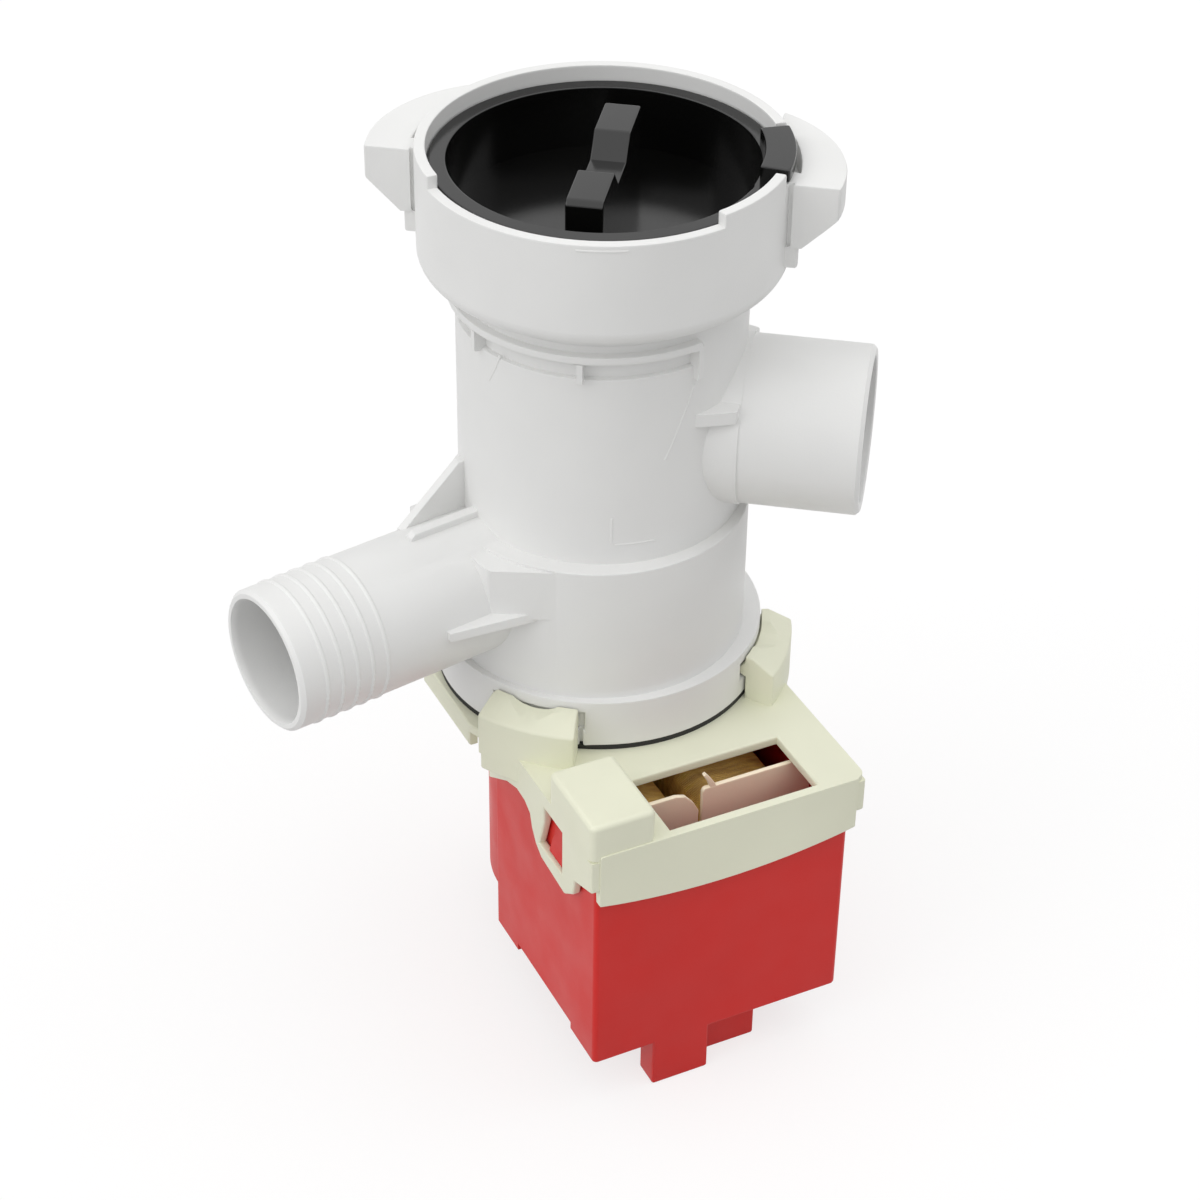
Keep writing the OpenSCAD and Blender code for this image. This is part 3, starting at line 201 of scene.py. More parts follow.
def noise(tree, scale, detail, stretch=(1, 1, 1)):
    """Noise on Object coordinates, with scale in cycles for each metre."""
    place = add_node(tree, "ShaderNodeTexCoord")
    turn = add_node(tree, "ShaderNodeMapping")
    turn.inputs["Scale"].default_value = stretch
    made = add_node(tree, "ShaderNodeTexNoise")
    made.inputs["Scale"].default_value = scale
    made.inputs["Detail"].default_value = detail
    tree.links.new(place.outputs["Object"], turn.inputs["Vector"])
    tree.links.new(turn.outputs["Vector"], made.inputs["Vector"])
    return made.outputs["Fac"]


def spread(tree, source, low, high):
    """Spreads the middle of a noise over the range from low to high."""
    made = add_node(tree, "ShaderNodeMapRange")
    made.inputs["From Min"].default_value = 0.3
    made.inputs["From Max"].default_value = 0.7
    made.inputs["To Min"].default_value = low
    made.inputs["To Max"].default_value = high
    tree.links.new(source, made.inputs["Value"])
    return made.outputs["Result"]


def shade(colour, gain):
    """Brighter or darker colour, with its alpha."""
    return tuple(min(1.0, c * gain) for c in colour) + (1.0,)


def blend_colours(tree, source, first, second):
    """Mix of two colours. The sockets 6, 7 and 2 are the node's colour sockets."""
    made = add_node(tree, "ShaderNodeMix", data_type="RGBA")
    made.inputs[6].default_value = first
    made.inputs[7].default_value = second
    tree.links.new(source, made.inputs["Factor"])
    return made.outputs[2]


def add_bump(tree, shader, source, depth):
    made = add_node(tree, "ShaderNodeBump")
    made.inputs["Strength"].default_value = 1.0
    made.inputs["Distance"].default_value = depth
    tree.links.new(source, made.inputs["Height"])
    tree.links.new(made.outputs["Normal"], shader.inputs["Normal"])


def moulded(name, colour, rough, drift, grain=2400.0, depth=0.02 * MM, ior=1.5, shine=0.5):
    """Moulded plastic: slow drift of tone, uneven gloss and a fine mould grain."""
    made, tree, shader = new_material(name)
    slow = spread(tree, noise(tree, 26.0, 3.0), 0.0, 1.0)
    tone = blend_colours(tree, slow, shade(colour, 1 - drift), shade(colour, 1 + drift * 0.6))
    tree.links.new(tone, shader.inputs["Base Color"])
    gloss = spread(tree, noise(tree, 95.0, 4.0), rough * 0.88, rough * 1.14)
    tree.links.new(gloss, shader.inputs["Roughness"])
    shader.inputs["IOR"].default_value = ior
    shader.inputs["Specular IOR Level"].default_value = shine
    add_bump(tree, shader, noise(tree, grain, 2.0), depth)
    return made


def metal(name, colour, rough, stretch):
    """Bare metal with brushed gloss along one way."""
    made, tree, shader = new_material(name)
    lines = noise(tree, 900.0, 3.0, stretch)
    streaks = spread(tree, lines, 0.0, 1.0)
    tone = blend_colours(tree, streaks, shade(colour, 0.82), shade(colour, 1.06))
    tree.links.new(tone, shader.inputs["Base Color"])
    tree.links.new(spread(tree, lines, rough - 0.08, rough + 0.10), shader.inputs["Roughness"])
    shader.inputs["Metallic"].default_value = 1.0
    add_bump(tree, shader, lines, 0.012 * MM)
    return made


def winding_wire(name, colour):
    """Enamelled copper, with the tone changing from turn to turn."""
    made, tree, shader = new_material(name)
    along = noise(tree, 420.0, 2.0, (0.35, 1.6, 0.35))
    change = spread(tree, along, 0.0, 1.0)
    tone = blend_colours(tree, change, shade(colour, 0.68), shade(colour, 1.18))
    tree.links.new(tone, shader.inputs["Base Color"])
    tree.links.new(spread(tree, along, 0.42, 0.26), shader.inputs["Roughness"])
    shader.inputs["Metallic"].default_value = 0.1
    shader.inputs["Coat Weight"].default_value = 0.35
    shader.inputs["Coat Roughness"].default_value = 0.25
    return made


def laminated(name, colour):
    """Stack of varnished sheets, seen as fine lines round its sides."""
    made, tree, shader = new_material(name)
    place = add_node(tree, "ShaderNodeTexCoord")
    sheets = add_node(tree, "ShaderNodeTexWave", wave_type="BANDS", bands_direction="Z")
    sheets.inputs["Scale"].default_value = 320.0
    sheets.inputs["Distortion"].default_value = 0.3
    tree.links.new(place.outputs["Object"], sheets.inputs["Vector"])
    tone = blend_colours(tree, sheets.outputs["Fac"], shade(colour, 0.45), shade(colour, 1.2))
    tree.links.new(tone, shader.inputs["Base Color"])
    tree.links.new(spread(tree, noise(tree, 300.0, 3.0), 0.38, 0.55), shader.inputs["Roughness"])
    shader.inputs["Metallic"].default_value = 0.7
    add_bump(tree, shader, sheets.outputs["Fac"], 0.05 * MM)
    return made


def finish_of(name):
    """The pump's own material for that finish, made once."""
    label = "finish_" + name
    if label in bpy.data.materials:
        return bpy.data.materials[label]
    colours = bpy.context.scene.pump_finish
    makers = {
        "housing_white": (moulded, colours.housing, {"rough": 0.46, "drift": 0.035}),
        "basket_white": (moulded, colours.basket, {"rough": 0.5, "drift": 0.05}),
        "plate_cream": (moulded, colours.plate, {"rough": 0.48, "drift": 0.05}),
        "cover_red": (moulded, colours.cover, {"rough": 0.42, "drift": 0.06, "shine": 0.36}),
        "cap_black": (
            moulded, colours.cap,
            {"rough": 0.14, "drift": 0.2, "grain": 3000.0, "depth": 0.006 * MM},
        ),
        "bobbin_salmon": (moulded, colours.bobbin, {"rough": 0.42, "drift": 0.07}),
        "seal_rubber": (
            moulded, colours.rubber,
            {"rough": 0.6, "drift": 0.25, "grain": 1800.0, "depth": 0.03 * MM},
        ),
        "rotor_plastic": (moulded, colours.rotor, {"rough": 0.45, "drift": 0.05}),
        "bearing_carbon": (moulded, colours.carbon, {"rough": 0.5, "drift": 0.2, "grain": 4200.0}),
        "washer_plastic": (moulded, colours.washer, {"rough": 0.45, "drift": 0.06}),
        "driver_plastic": (moulded, colours.driver, {"rough": 0.36, "drift": 0.06}),
        "ferrite": (
            moulded, colours.ferrite, {"rough": 0.42, "drift": 0.15, "grain": 3600.0, "ior": 1.8},
        ),
        "copper": (winding_wire, colours.copper, {}),
        "lamination": (laminated, colours.lamination, {}),
        "steel": (metal, colours.steel, {"rough": 0.26, "stretch": (1, 1, 8)}),
        "tinned_brass": (metal, colours.tinned, {"rough": 0.34, "stretch": (1, 1, 0.2)}),
    }
    maker, colour, settings = makers[name]
    return maker(label, colour, **settings)


# Mesh helpers


def new_piece(name, mesh, material, body, *replaced):
    """Links a finished mesh as a piece of the pump."""
    made = bpy.data.objects.new(name, mesh)
    bpy.context.scene.collection.objects.link(made)
    mesh.materials.clear()
    mesh.materials.append(finish_of(material))
    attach(made, body)
    if replaced:
        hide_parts(*replaced)
    return made


def paint_node(node, material):
    """Gives a solid that stays its finish."""
    slots = NODES[node].data.materials
    slots.clear()
    slots.append(finish_of(material))


def finished_mesh(shape, name, smooth):
    """Turns a shape into a mesh."""
    mesh = bpy.data.meshes.new(name)
    for face in shape.faces:
        face.smooth = smooth
    shape.to_mesh(mesh)
    shape.free()
    return mesh


def face_depth(edge, face):
    """Least width of a face, straight in from one of its edges."""
    start, end = (v.co for v in edge.verts)
    middle = (start + end) / 2
    line = (end - start).normalized()
    inward = face.normal.cross(line)
    for loop in face.loops:
        if loop.edge == edge and loop.vert != edge.verts[0]:
            inward.negate()
    half = (end - start).length / 2 - WELD
    depths = [math.inf]
    for corner in face.verts:
        if corner not in edge.verts and abs((corner.co - middle).dot(line)) < half:
            depths.append((corner.co - middle).dot(inward))
    for other in face.edges:
        first, second = (v.co - middle for v in other.verts)
        before, after = first.dot(line), second.dot(line)
        if other != edge and before * after <= 0 and before != after:
            depths.append(first.lerp(second, before / (before - after)).dot(inward))
    return min(depth for depth in depths if depth > 0)


def sharp(edge, floor):
    """True for a sharp outer edge above that height."""
    if len(edge.link_faces) != 2 or not edge.is_convex or edge.calc_face_angle(0.0) < SHARP_ANGLE:
        return False
    return min(v.co.z for v in edge.verts) >= floor


def runs_on(edge, others):
    """Number of ends at which one of the other edges carries this edge on."""
    count = 0
    for corner in edge.verts:
        line = edge.other_vert(corner).co - corner.co
        count += any(
            other in others and other != edge
            and line.angle(corner.co - other.other_vert(corner).co, math.pi) < SMOOTH_ANGLE
            for other in corner.link_edges
        )
    return count


def round_edges(shape, width, steps, floor=-math.inf):
    """Rounds sharp outer edges whose faces have room, in runs without gaps or lone pieces."""
    outer = {e for e in shape.edges if sharp(e, floor)}
    room = FACE_ROOM * width
    roomy = {e for e in outer if all(face_depth(e, f) > room for f in e.link_faces)}
    gaps = {e for e in outer if e.calc_length() < LONGEST_GAP * width and runs_on(e, roomy) == 2}
    chosen = roomy | gaps
    edges = [
        e for e in shape.edges if e in chosen and (runs_on(e, chosen) or not runs_on(e, outer))
    ]
    bmesh.ops.bevel(
        shape, geom=edges, offset=width, offset_type="OFFSET", segments=steps, profile=0.5,
        affect="EDGES", clamp_overlap=False,
    )


def filled(rim, facing):
    """Corners of the triangles that fill a flat outline, or nothing where it crosses itself."""
    trial = bmesh.new()
    ends = list(dict.fromkeys(v for e in rim for v in e.verts))
    copies = {v: trial.verts.new(v.co) for v in ends}
    trial.verts.index_update()
    lines = [trial.edges.new([copies[v] for v in e.verts]) for e in rim]
    bmesh.ops.triangle_fill(trial, use_beauty=True, edges=lines, normal=facing)
    corners = []
    if len(trial.verts) == len(ends) and all(len(e.link_faces) == 1 for e in lines):
        for face in trial.faces:
            face.normal_update()
            trio = [ends[v.index] for v in face.verts]
            corners.append(trio if face.normal.dot(facing) > 0 else trio[::-1])
    trial.free()
    return corners


def flat_part(start):
    """That face and all faces that lie flat with it."""
    part = [start]
    for face in part:
        for edge in face.edges:
            if len(edge.link_faces) == 2 and edge.calc_face_angle(0.0) < FLAT_ANGLE:
                part.extend([f for f in edge.link_faces if f not in part])
    return part


def fill_again(shape):
    """Fills flat parts again where rounding has moved an outline across a dividing edge."""
    parts = []
    for corners in shape.calc_loop_triangles():
        face = corners[0].face
        first, second, third = (c.vert.co for c in corners)
        crossed = (second - first).cross(third - first).dot(face.normal) < 0
        if crossed and not any(face in part for part in parts):
            parts.append(flat_part(face))
    for part in parts:
        edges = list(dict.fromkeys(e for f in part for e in f.edges))
        rim = [e for e in edges if sum(f in part for f in e.link_faces) == 1]
        facing = sum((f.normal * f.calc_area() for f in part), Vector()).normalized()
        triangles = filled(rim, facing)
        if triangles:
            bmesh.ops.delete(shape, geom=part, context="FACES_ONLY")
            bmesh.ops.delete(shape, geom=[e for e in edges if e not in rim], context="EDGES")
            for trio in triangles:
                shape.faces.new(trio)


def rounded_copy(node, name, width, soft=None):
    """Copy of a solid's mesh with its roomy sharp edges rounded.

    The pair named soft holds a height and the larger rounding of the edges above it. With it,
    edges on narrow faces get a very small rounding too.
    """
    mesh = NODES[node].data.copy()
    mesh.name = name
    shape = bmesh.new()
    shape.from_mesh(mesh)
    bmesh.ops.remove_doubles(shape, verts=shape.verts, dist=WELD)
    bmesh.ops.dissolve_limit(
        shape, angle_limit=FLAT_ANGLE, verts=shape.verts, edges=shape.edges,
        use_dissolve_boundaries=False,
    )
    if soft:
        round_edges(shape, soft[1], 4, soft[0])
    round_edges(shape, width, 2)
    if soft:
        round_edges(shape, NARROW_ROUND * width, 1)
    shape.normal_update()
    fill_again(shape)
    for face in shape.faces:
        face.smooth = True
    for edge in shape.edges:
        edge.smooth = edge.calc_face_angle(0.0) < SMOOTH_ANGLE
    shape.to_mesh(mesh)
    shape.free()
    if "custom_normal" in mesh.attributes:
        mesh.attributes.remove(mesh.attributes["custom_normal"])
    return mesh


def rounded_piece(node, width, material, body, soft=None):
    """Puts a rounded copy in the place of a solid, with its broad faces kept flat."""
    name = node + "_moulding"
    piece = new_piece(name, rounded_copy(node, name, width, soft), material, body, node)
    flat = piece.modifiers.new("flat_faces", "WEIGHTED_NORMAL")
    flat.weight = FLAT_FACE_WEIGHT
    flat.keep_sharp = True


def skin(shape, rows):
    """Closes rows of corners into one bar."""
    count = len(rows[0])
    for first, second in zip(rows, rows[1:]):
        for k in range(count):
            j = (k + 1) % count
            shape.faces.new((first[k], first[j], second[j], second[k]))
    shape.faces.new(rows[0][::-1])
    shape.faces.new(rows[-1])


def bar_on_wall(shape, points, radius, width, height):
    """Low raised line on a round wall, through points of angle and height in millimetres."""
    rows = []
    places = []
    for angle, z in points:
        turn = math.radians(angle)
        out = Vector((math.cos(turn), math.sin(turn), 0))
        places.append(out * radius + Vector((0, 0, z * MM)))
    for i, place in enumerate(places):
        before, after = places[max(i - 1, 0)], places[min(i + 1, len(places) - 1)]
        way = (after - before).normalized()
        out = Vector((place.x, place.y, 0)).normalized()
        side = way.cross(out).normalized()
        rows.append([
            shape.verts.new(place + side * (u * width) + out * (v * height))
            for u, v in MARK_SECTION
        ])
    skin(shape, rows)


def horn(name, points, near, far, rounding):
    """Tapered hook through points of x, z and width, from the near to the far y."""
    shape = bmesh.new()
    rows = []
    for i, (x, z, width) in enumerate(points):
        before, after = points[max(i - 1, 0)], points[min(i + 1, len(points) - 1)]
        way = Vector((after[0] - before[0], 0, after[1] - before[1])).normalized()
        side = way.cross(Vector((0, 1, 0))) * (width / 2)
        middle = Vector((x, 0, z))
        rows.append([
            shape.verts.new(middle + side * sign + Vector((0, y, 0)))
            for sign, y in ((-1, near), (1, near), (1, far), (-1, far))
        ])
    skin(shape, rows)
    bmesh.ops.recalc_face_normals(shape, faces=shape.faces)
    bmesh.ops.bevel(
        shape, geom=[e for e in shape.edges if e.calc_face_angle(0.0) > SHARP_ANGLE],
        offset=rounding, offset_type="OFFSET", segments=2, profile=0.5, affect="EDGES",
    )
    return finished_mesh(shape, name, True)


# Pieces


class PUMP_OT_housing(bpy.types.Operator):
    """Round the housing's edges and add the faint mould marks on its tube and collar"""

    bl_idname = "pump.housing"
    bl_label = "Housing"

    def execute(self, context):
        sizes = context.scene.pump_sizes
        rounded_piece("pump_housing", sizes.housing_round, "housing_white", "base")
        shape = bmesh.new()
        for line in TUBE_MARKS:
            bar_on_wall(shape, line, TUBE_RADIUS, sizes.mark_width, sizes.mark_height)
        bar_on_wall(shape, COLLAR_MARK, COLLAR_RADIUS, sizes.mark_width, sizes.mark_height)
        bmesh.ops.recalc_face_normals(shape, faces=shape.faces)
        mesh = finished_mesh(shape, "mould_marks", False)
        new_piece("mould_marks", mesh, "housing_white", "base")
        return {"FINISHED"}


class PUMP_OT_motor_shell(bpy.types.Operator):
    """Round the edges of the motor plate and the motor cover"""

    bl_idname = "pump.motor_shell"
    bl_label = "Motor plate and cover"

    def execute(self, context):
        sizes = context.scene.pump_sizes
        clips_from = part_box("flange_gasket")[1].z + 2 * MM
        rounded_piece(
            "motor_plate", sizes.plate_round, "plate_cream", "base", (clips_from, sizes.clip_round)
        )
        rounded_piece("motor_cover", sizes.cover_round, "cover_red", "base")
        return {"FINISHED"}


class PUMP_OT_filter(bpy.types.Operator):
    """Round the edges of the filter cap and finish its basket"""

    bl_idname = "pump.filter"
    bl_label = "Filter cap and basket"

    def execute(self, context):
        sizes = context.scene.pump_sizes
        rounded_piece("filter_cap", sizes.cap_round, "cap_black", "filter_insert")
        paint_node("filter_basket", "basket_white")
        return {"FINISHED"}


def winding_tree():
    """Geometry nodes that lay one wire in a layer of turns round a rounded box."""
    tree = bpy.data.node_groups.new("winding_layer", "GeometryNodeTree")
    face = tree.interface
    face.new_socket("Geometry", in_out="OUTPUT", socket_type="NodeSocketGeometry")
    for label, kind in (
        ("Turns", "NodeSocketInt"), ("Points per turn", "NodeSocketInt"),
        ("Wire radius", "NodeSocketFloat"), ("Width", "NodeSocketFloat"),
        ("Height", "NodeSocketFloat"), ("Corner", "NodeSocketFloat"),
        ("Start", "NodeSocketVector"), ("End", "NodeSocketVector"),
        ("Wobble", "NodeSocketFloat"), ("Seed", "NodeSocketFloat"),
        ("Material", "NodeSocketMaterial"),
    ):
        face.new_socket(label, in_out="INPUT", socket_type=kind)
    source = add_node(tree, "NodeGroupInput").outputs
    link = tree.links.new

    loop = add_node(tree, "GeometryNodeCurvePrimitiveQuadrilateral")
    link(source["Width"], loop.inputs["Width"])
    link(source["Height"], loop.inputs["Height"])
    fillet = add_node(tree, "GeometryNodeFilletCurve", mode="POLY")
    fillet.inputs["Count"].default_value = CORNER_POINTS
    link(loop.outputs[0], fillet.inputs["Curve"])
    link(source["Corner"], fillet.inputs["Radius"])

    count = add_node(tree, "ShaderNodeMath", operation="MULTIPLY_ADD")
    count.inputs[2].default_value = 1.0
    link(source["Turns"], count.inputs[0])
    link(source["Points per turn"], count.inputs[1])
    line = add_node(tree, "GeometryNodeCurvePrimitiveLine")
    link(source["Start"], line.inputs["Start"])
    link(source["End"], line.inputs["End"])
    points = add_node(tree, "GeometryNodeResampleCurve", mode="COUNT")
    link(line.outputs[0], points.inputs["Curve"])
    link(count.outputs[0], points.inputs["Count"])

    index = add_node(tree, "GeometryNodeInputIndex")
    share = add_node(tree, "ShaderNodeMath", operation="DIVIDE")
    link(index.outputs[0], share.inputs[0])
    link(source["Points per turn"], share.inputs[1])
    part = add_node(tree, "ShaderNodeMath", operation="FRACT")
    link(share.outputs[0], part.inputs[0])
    sample = add_node(tree, "GeometryNodeSampleCurve", mode="FACTOR", use_all_curves=True)
    link(fillet.outputs[0], sample.inputs["Curves"])
    link(part.outputs[0], sample.inputs["Factor"])
    flat = add_node(tree, "ShaderNodeSeparateXYZ")
    link(sample.outputs["Position"], flat.inputs[0])
    upright = add_node(tree, "ShaderNodeCombineXYZ")
    link(flat.outputs["X"], upright.inputs["X"])
    link(flat.outputs["Y"], upright.inputs["Z"])

    stray = add_node(tree, "ShaderNodeTexNoise", noise_dimensions="4D")
    stray.inputs["Scale"].default_value = STRAY_SCALE
    link(source["Seed"], stray.inputs["W"])
    around = add_node(tree, "ShaderNodeVectorMath", operation="ADD")
    here = add_node(tree, "GeometryNodeInputPosition")
    link(here.outputs[0], around.inputs[0])
    link(upright.outputs[0], around.inputs[1])
    link(around.outputs[0], stray.inputs["Vector"])
    centred = add_node(tree, "ShaderNodeVectorMath", operation="SUBTRACT")
    centred.inputs[1].default_value = (0.5, 0.5, 0.5)
    link(stray.outputs["Color"], centred.inputs[0])
    scaled = add_node(tree, "ShaderNodeVectorMath", operation="SCALE")
    link(centred.outputs[0], scaled.inputs[0])
    link(source["Wobble"], scaled.inputs["Scale"])
    offset = add_node(tree, "ShaderNodeVectorMath", operation="ADD")
    link(upright.outputs[0], offset.inputs[0])
    link(scaled.outputs[0], offset.inputs[1])

    lay = add_node(tree, "GeometryNodeSetPosition")
    link(points.outputs[0], lay.inputs["Geometry"])
    link(offset.outputs[0], lay.inputs["Offset"])
    ring = add_node(tree, "GeometryNodeCurvePrimitiveCircle")
    ring.inputs["Resolution"].default_value = WIRE_SIDES
    link(source["Wire radius"], ring.inputs["Radius"])
    wire = add_node(tree, "GeometryNodeCurveToMesh")
    wire.inputs["Fill Caps"].default_value = True
    link(lay.outputs[0], wire.inputs["Curve"])
    link(ring.outputs[0], wire.inputs["Profile Curve"])
    real = add_node(tree, "GeometryNodeRealizeInstances")
    link(wire.outputs[0], real.inputs[0])
    coat = add_node(tree, "GeometryNodeSetMaterial")
    link(real.outputs[0], coat.inputs["Geometry"])
    link(source["Material"], coat.inputs["Material"])
    out = add_node(tree, "NodeGroupOutput")
    link(coat.outputs[0], out.inputs[0])
    return tree


def run_tree(tree, name, values):
    """Runs a node tree on an empty mesh and returns its result as a plain mesh."""
    holder = bpy.data.objects.new(name + "_source", bpy.data.meshes.new(name + "_source"))
    bpy.context.scene.collection.objects.link(holder)
    modifier = holder.modifiers.new("nodes", "NODES")
    modifier.node_group = tree
    sockets = {s.name: s.identifier for s in tree.interface.items_tree if s.in_out == "INPUT"}
    for label, value in values.items():
        modifier[sockets[label]] = value
    ready = holder.evaluated_get(bpy.context.evaluated_depsgraph_get())
    mesh = bpy.data.meshes.new_from_object(ready)
    mesh.name = name
    empty = holder.data
    bpy.data.objects.remove(holder)
    bpy.data.meshes.remove(empty)
    if not mesh.polygons:
        raise RuntimeError(name + " came out empty")
    return mesh


class PUMP_OT_windings(bpy.types.Operator):
    """Wind both coils in two layers of fine wire"""

    bl_idname = "pump.windings"
    bl_label = "Windings"

    def execute(self, context):
        sizes = context.scene.pump_sizes
        tree = winding_tree()
        wire = sizes.wire_radius
        for side in ("left", "right"):
            low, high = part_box("turns_" + side)
            inner_low, inner_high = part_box("coil_" + side)
            middle = (low + high) / 2
            shape = bmesh.new()
            for layer in range(LAYERS):
                inset = wire + sizes.wire_wobble / 2 + layer * LAYER_STEP * wire
                ends = [
                    Vector((middle.x, y, middle.z))
                    for y in (inner_low.y + 2 * wire, inner_high.y - 2 * wire)
                ]
                values = {
                    "Turns": sizes.turns, "Points per turn": POINTS_PER_TURN, "Wire radius": wire,
                    "Width": high.x - low.x - 2 * inset, "Height": high.z - low.z - 2 * inset,
                    "Corner": WINDING_CORNER, "Start": ends[layer], "End": ends[1 - layer],
                    "Wobble": sizes.wire_wobble, "Seed": float(sizes.winding_seed + layer),
                    "Material": finish_of("copper"),
                }
                part = run_tree(tree, "winding_layer", values)
                shape.from_mesh(part)
                bpy.data.meshes.remove(part)
            name = "winding_" + side
            mesh = finished_mesh(shape, name, True)
            new_piece(name, mesh, "copper", "base", "coil_" + side, "turns_" + side)
        return {"FINISHED"}


class PUMP_OT_stator(bpy.types.Operator):
    """Finish the stator's sheets, bobbins and terminals, and add the wire guide"""

    bl_idname = "pump.stator"
    bl_label = "Stator"

    def execute(self, context):
        sizes = context.scene.pump_sizes
        for node in ("pole_left", "pole_right", "stator_yoke"):
            paint_node(node, "lamination")
        for side in ("left", "right"):
            rounded_piece("bobbin_" + side, sizes.bobbin_round, "bobbin_salmon", "base")
            paint_node("terminal_" + side, "tinned_brass")
        low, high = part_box("bobbin_right")
        points = [
            (low.x + x * MM, high.z + z * MM, width * MM) for x, z, width in GUIDE_LINE
        ]
        near, far = (low.y + side for side in GUIDE_SIDES)
        guide = horn("wire_guide", points, near, far, sizes.guide_round)
        new_piece("wire_guide", guide, "bobbin_salmon", "base")
        return {"FINISHED"}


class PUMP_OT_rotor(bpy.types.Operator):
    """Finish the rotor, its bearings, the clutch and the impeller"""

    bl_idname = "pump.rotor"
    bl_label = "Rotor and impeller"

    def execute(self, context):
        finishes = {
            "rotor_magnet": "ferrite", "rotor_hub": "rotor_plastic", "rotor_shaft": "steel",
            "rear_bearing": "bearing_carbon", "front_bearing": "bearing_carbon",
            "bearing_carrier": "rotor_plastic", "rear_washer": "washer_plastic",
            "front_washer": "washer_plastic", "clutch_driver": "driver_plastic",
            "shaft_clip": "steel", "impeller_nose": "basket_white",
        }
        for node, material in finishes.items():
            paint_node(node, material)
        rounding = context.scene.pump_sizes.impeller_round
        rounded_piece("impeller", rounding, "basket_white", "impeller")
        return {"FINISHED"}


class PUMP_OT_seals(bpy.types.Operator):
    """Finish the seals, the gasket and the grommet"""

    bl_idname = "pump.seals"
    bl_label = "Seals"

    def execute(self, context):
        for node in ("flange_gasket", "cap_seal", "carrier_seal", "rear_grommet"):
            paint_node(node, "seal_rubber")
        return {"FINISHED"}


# Stage


def seen_rays(tree):
    """1 for camera, glossy and transmission rays, and 0 for the others."""
    path = add_node(tree, "ShaderNodeLightPath")
    first = add_node(tree, "ShaderNodeMath", operation="MAXIMUM")
    tree.links.new(path.outputs["Is Camera Ray"], first.inputs[0])
    tree.links.new(path.outputs["Is Glossy Ray"], first.inputs[1])
    both = add_node(tree, "ShaderNodeMath", operation="MAXIMUM")
    tree.links.new(first.outputs[0], both.inputs[0])
    tree.links.new(path.outputs["Is Transmission Ray"], both.inputs[1])
    return both.outputs[0]


def make_floor(colour):
    """Pale floor: seen as near white, and darker for the light that it throws on the pump."""
    half = FLOOR_HALF
    mesh = bpy.data.meshes.new("floor")
    corners = [(-half, -half, 0), (half, -half, 0), (half, half, 0), (-half, half, 0)]
    mesh.from_pydata(corners, [], [(0, 1, 2, 3)])
    floor = bpy.data.objects.new("floor", mesh)
    bpy.context.scene.collection.objects.link(floor)
    made = bpy.data.materials.new("floor_pale")
    tree, out = empty_tree(made, "ShaderNodeOutputMaterial")
    matt = add_node(tree, "ShaderNodeBsdfDiffuse")
    seen = seen_rays(tree)
    tone = blend_colours(tree, seen, shade(colour, FLOOR_BOUNCE), shade(colour, 1))
    tree.links.new(tone, matt.inputs["Color"])
    white = add_node(tree, "ShaderNodeEmission")
    share = add_node(tree, "ShaderNodeMath", operation="MULTIPLY")
    share.inputs[1].default_value = FLOOR_WHITE
    tree.links.new(seen, share.inputs[0])
    mix = add_node(tree, "ShaderNodeMixShader")
    tree.links.new(share.outputs[0], mix.inputs[0])
    tree.links.new(matt.outputs[0], mix.inputs[1])
    tree.links.new(white.outputs[0], mix.inputs[2])
    tree.links.new(mix.outputs[0], out.inputs[0])
    mesh.materials.append(made)


def make_world():
    """White surroundings, with less light from them than is seen."""
    world = bpy.data.worlds.new("studio")
    bpy.context.scene.world = world
    tree, out = empty_tree(world, "ShaderNodeOutputWorld")
    back = add_node(tree, "ShaderNodeBackground")
    back.inputs["Color"].default_value = (1, 1, 1, 1)
    level = add_node(tree, "ShaderNodeMapRange")
    level.inputs["To Min"].default_value = WORLD_FILL
    level.inputs["To Max"].default_value = 1.0
    tree.links.new(seen_rays(tree), level.inputs["Value"])
    tree.links.new(level.outputs["Result"], back.inputs["Strength"])
    tree.links.new(back.outputs[0], out.inputs[0])


def make_lamp(name, towards, strength, spread_angle):
    lamp = bpy.data.lights.new(name, "SUN")
    lamp.energy = strength * math.pi
    lamp.angle = math.radians(spread_angle)
    made = bpy.data.objects.new(name, lamp)
    made.rotation_euler = (-Vector(towards)).to_track_quat("-Z", "Y").to_euler()
    bpy.context.scene.collection.objects.link(made)


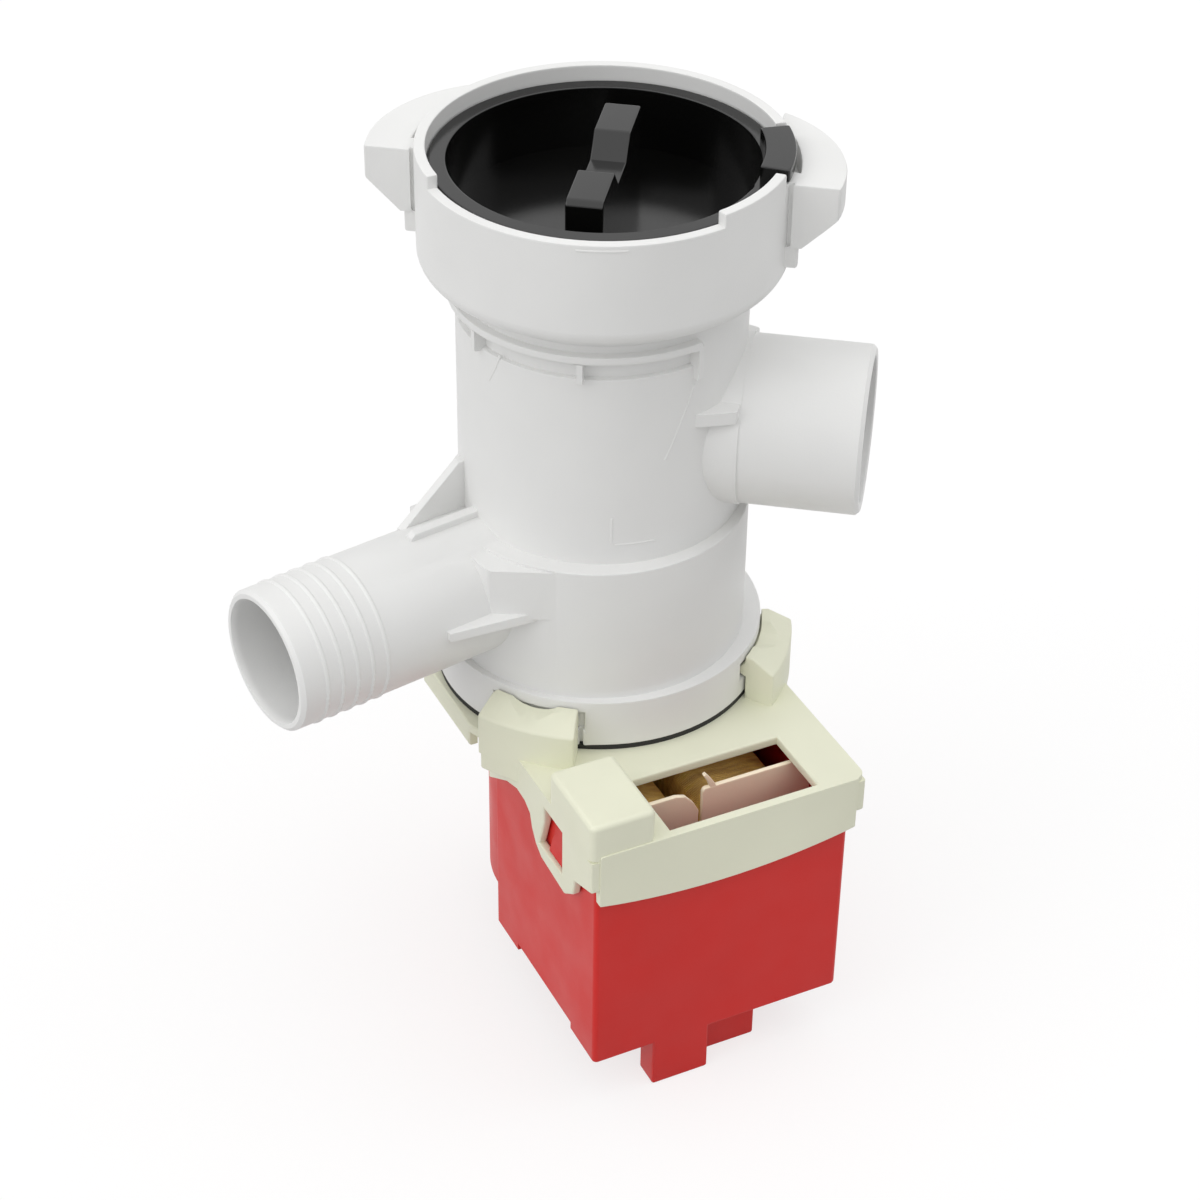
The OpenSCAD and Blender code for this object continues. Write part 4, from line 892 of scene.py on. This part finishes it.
def make_camera():
    """Camera as fitted to the photograph."""
    lens = bpy.data.cameras.new("camera")
    lens.lens = CAMERA_LENS
    lens.sensor_width = 36.0
    lens.clip_start, lens.clip_end = 0.02, 30.0
    made = bpy.data.objects.new("camera", lens)
    bpy.context.scene.collection.objects.link(made)
    ahead = Vector(CAMERA_AHEAD).normalized()
    right = Vector(CAMERA_RIGHT).normalized()
    up = right.cross(ahead).normalized()
    turn = Matrix((right, up, -ahead)).transposed()
    made.matrix_world = Matrix.Translation(CAMERA_PLACE) @ turn.to_4x4()
    bpy.context.scene.camera = made


class PUMP_OT_stage(bpy.types.Operator):
    """Set the floor, the light and the camera"""

    bl_idname = "pump.stage"
    bl_label = "Stage"

    def execute(self, context):
        context.scene.view_settings.view_transform = "Standard"
        make_floor(context.scene.pump_finish.floor)
        make_world()
        for lamp in LAMPS:
            make_lamp(*lamp)
        make_camera()
        return {"FINISHED"}


class PUMP_PT_panel(bpy.types.Panel):
    """Sizes, colours and pieces of the pump"""

    bl_idname = "PUMP_PT_panel"
    bl_label = "Washer drain pump"
    bl_space_type = "VIEW_3D"
    bl_region_type = "UI"
    bl_category = "Pump"

    def draw(self, context):
        for group in (context.scene.pump_sizes, context.scene.pump_finish):
            box = self.layout.box()
            for name in group.__annotations__:
                box.prop(group, name)
        for step in STEPS:
            self.layout.operator(step.bl_idname)


STEPS = (
    PUMP_OT_stage, PUMP_OT_housing, PUMP_OT_motor_shell, PUMP_OT_filter, PUMP_OT_windings,
    PUMP_OT_stator, PUMP_OT_rotor, PUMP_OT_seals,
)
CLASSES = (PumpSizes, PumpFinish, *STEPS, PUMP_PT_panel)


def register():
    for made in CLASSES:
        bpy.utils.register_class(made)
    bpy.types.Scene.pump_sizes = PointerProperty(type=PumpSizes)
    bpy.types.Scene.pump_finish = PointerProperty(type=PumpFinish)


def unregister():
    del bpy.types.Scene.pump_finish
    del bpy.types.Scene.pump_sizes
    for made in reversed(CLASSES):
        bpy.utils.unregister_class(made)


def main():
    register()
    bpy.ops.pump.stage()
    bpy.ops.pump.housing()
    bpy.ops.pump.motor_shell()
    bpy.ops.pump.filter()
    bpy.ops.pump.windings()
    bpy.ops.pump.stator()
    bpy.ops.pump.rotor()
    bpy.ops.pump.seals()


if __name__ == "__main__":
    main()
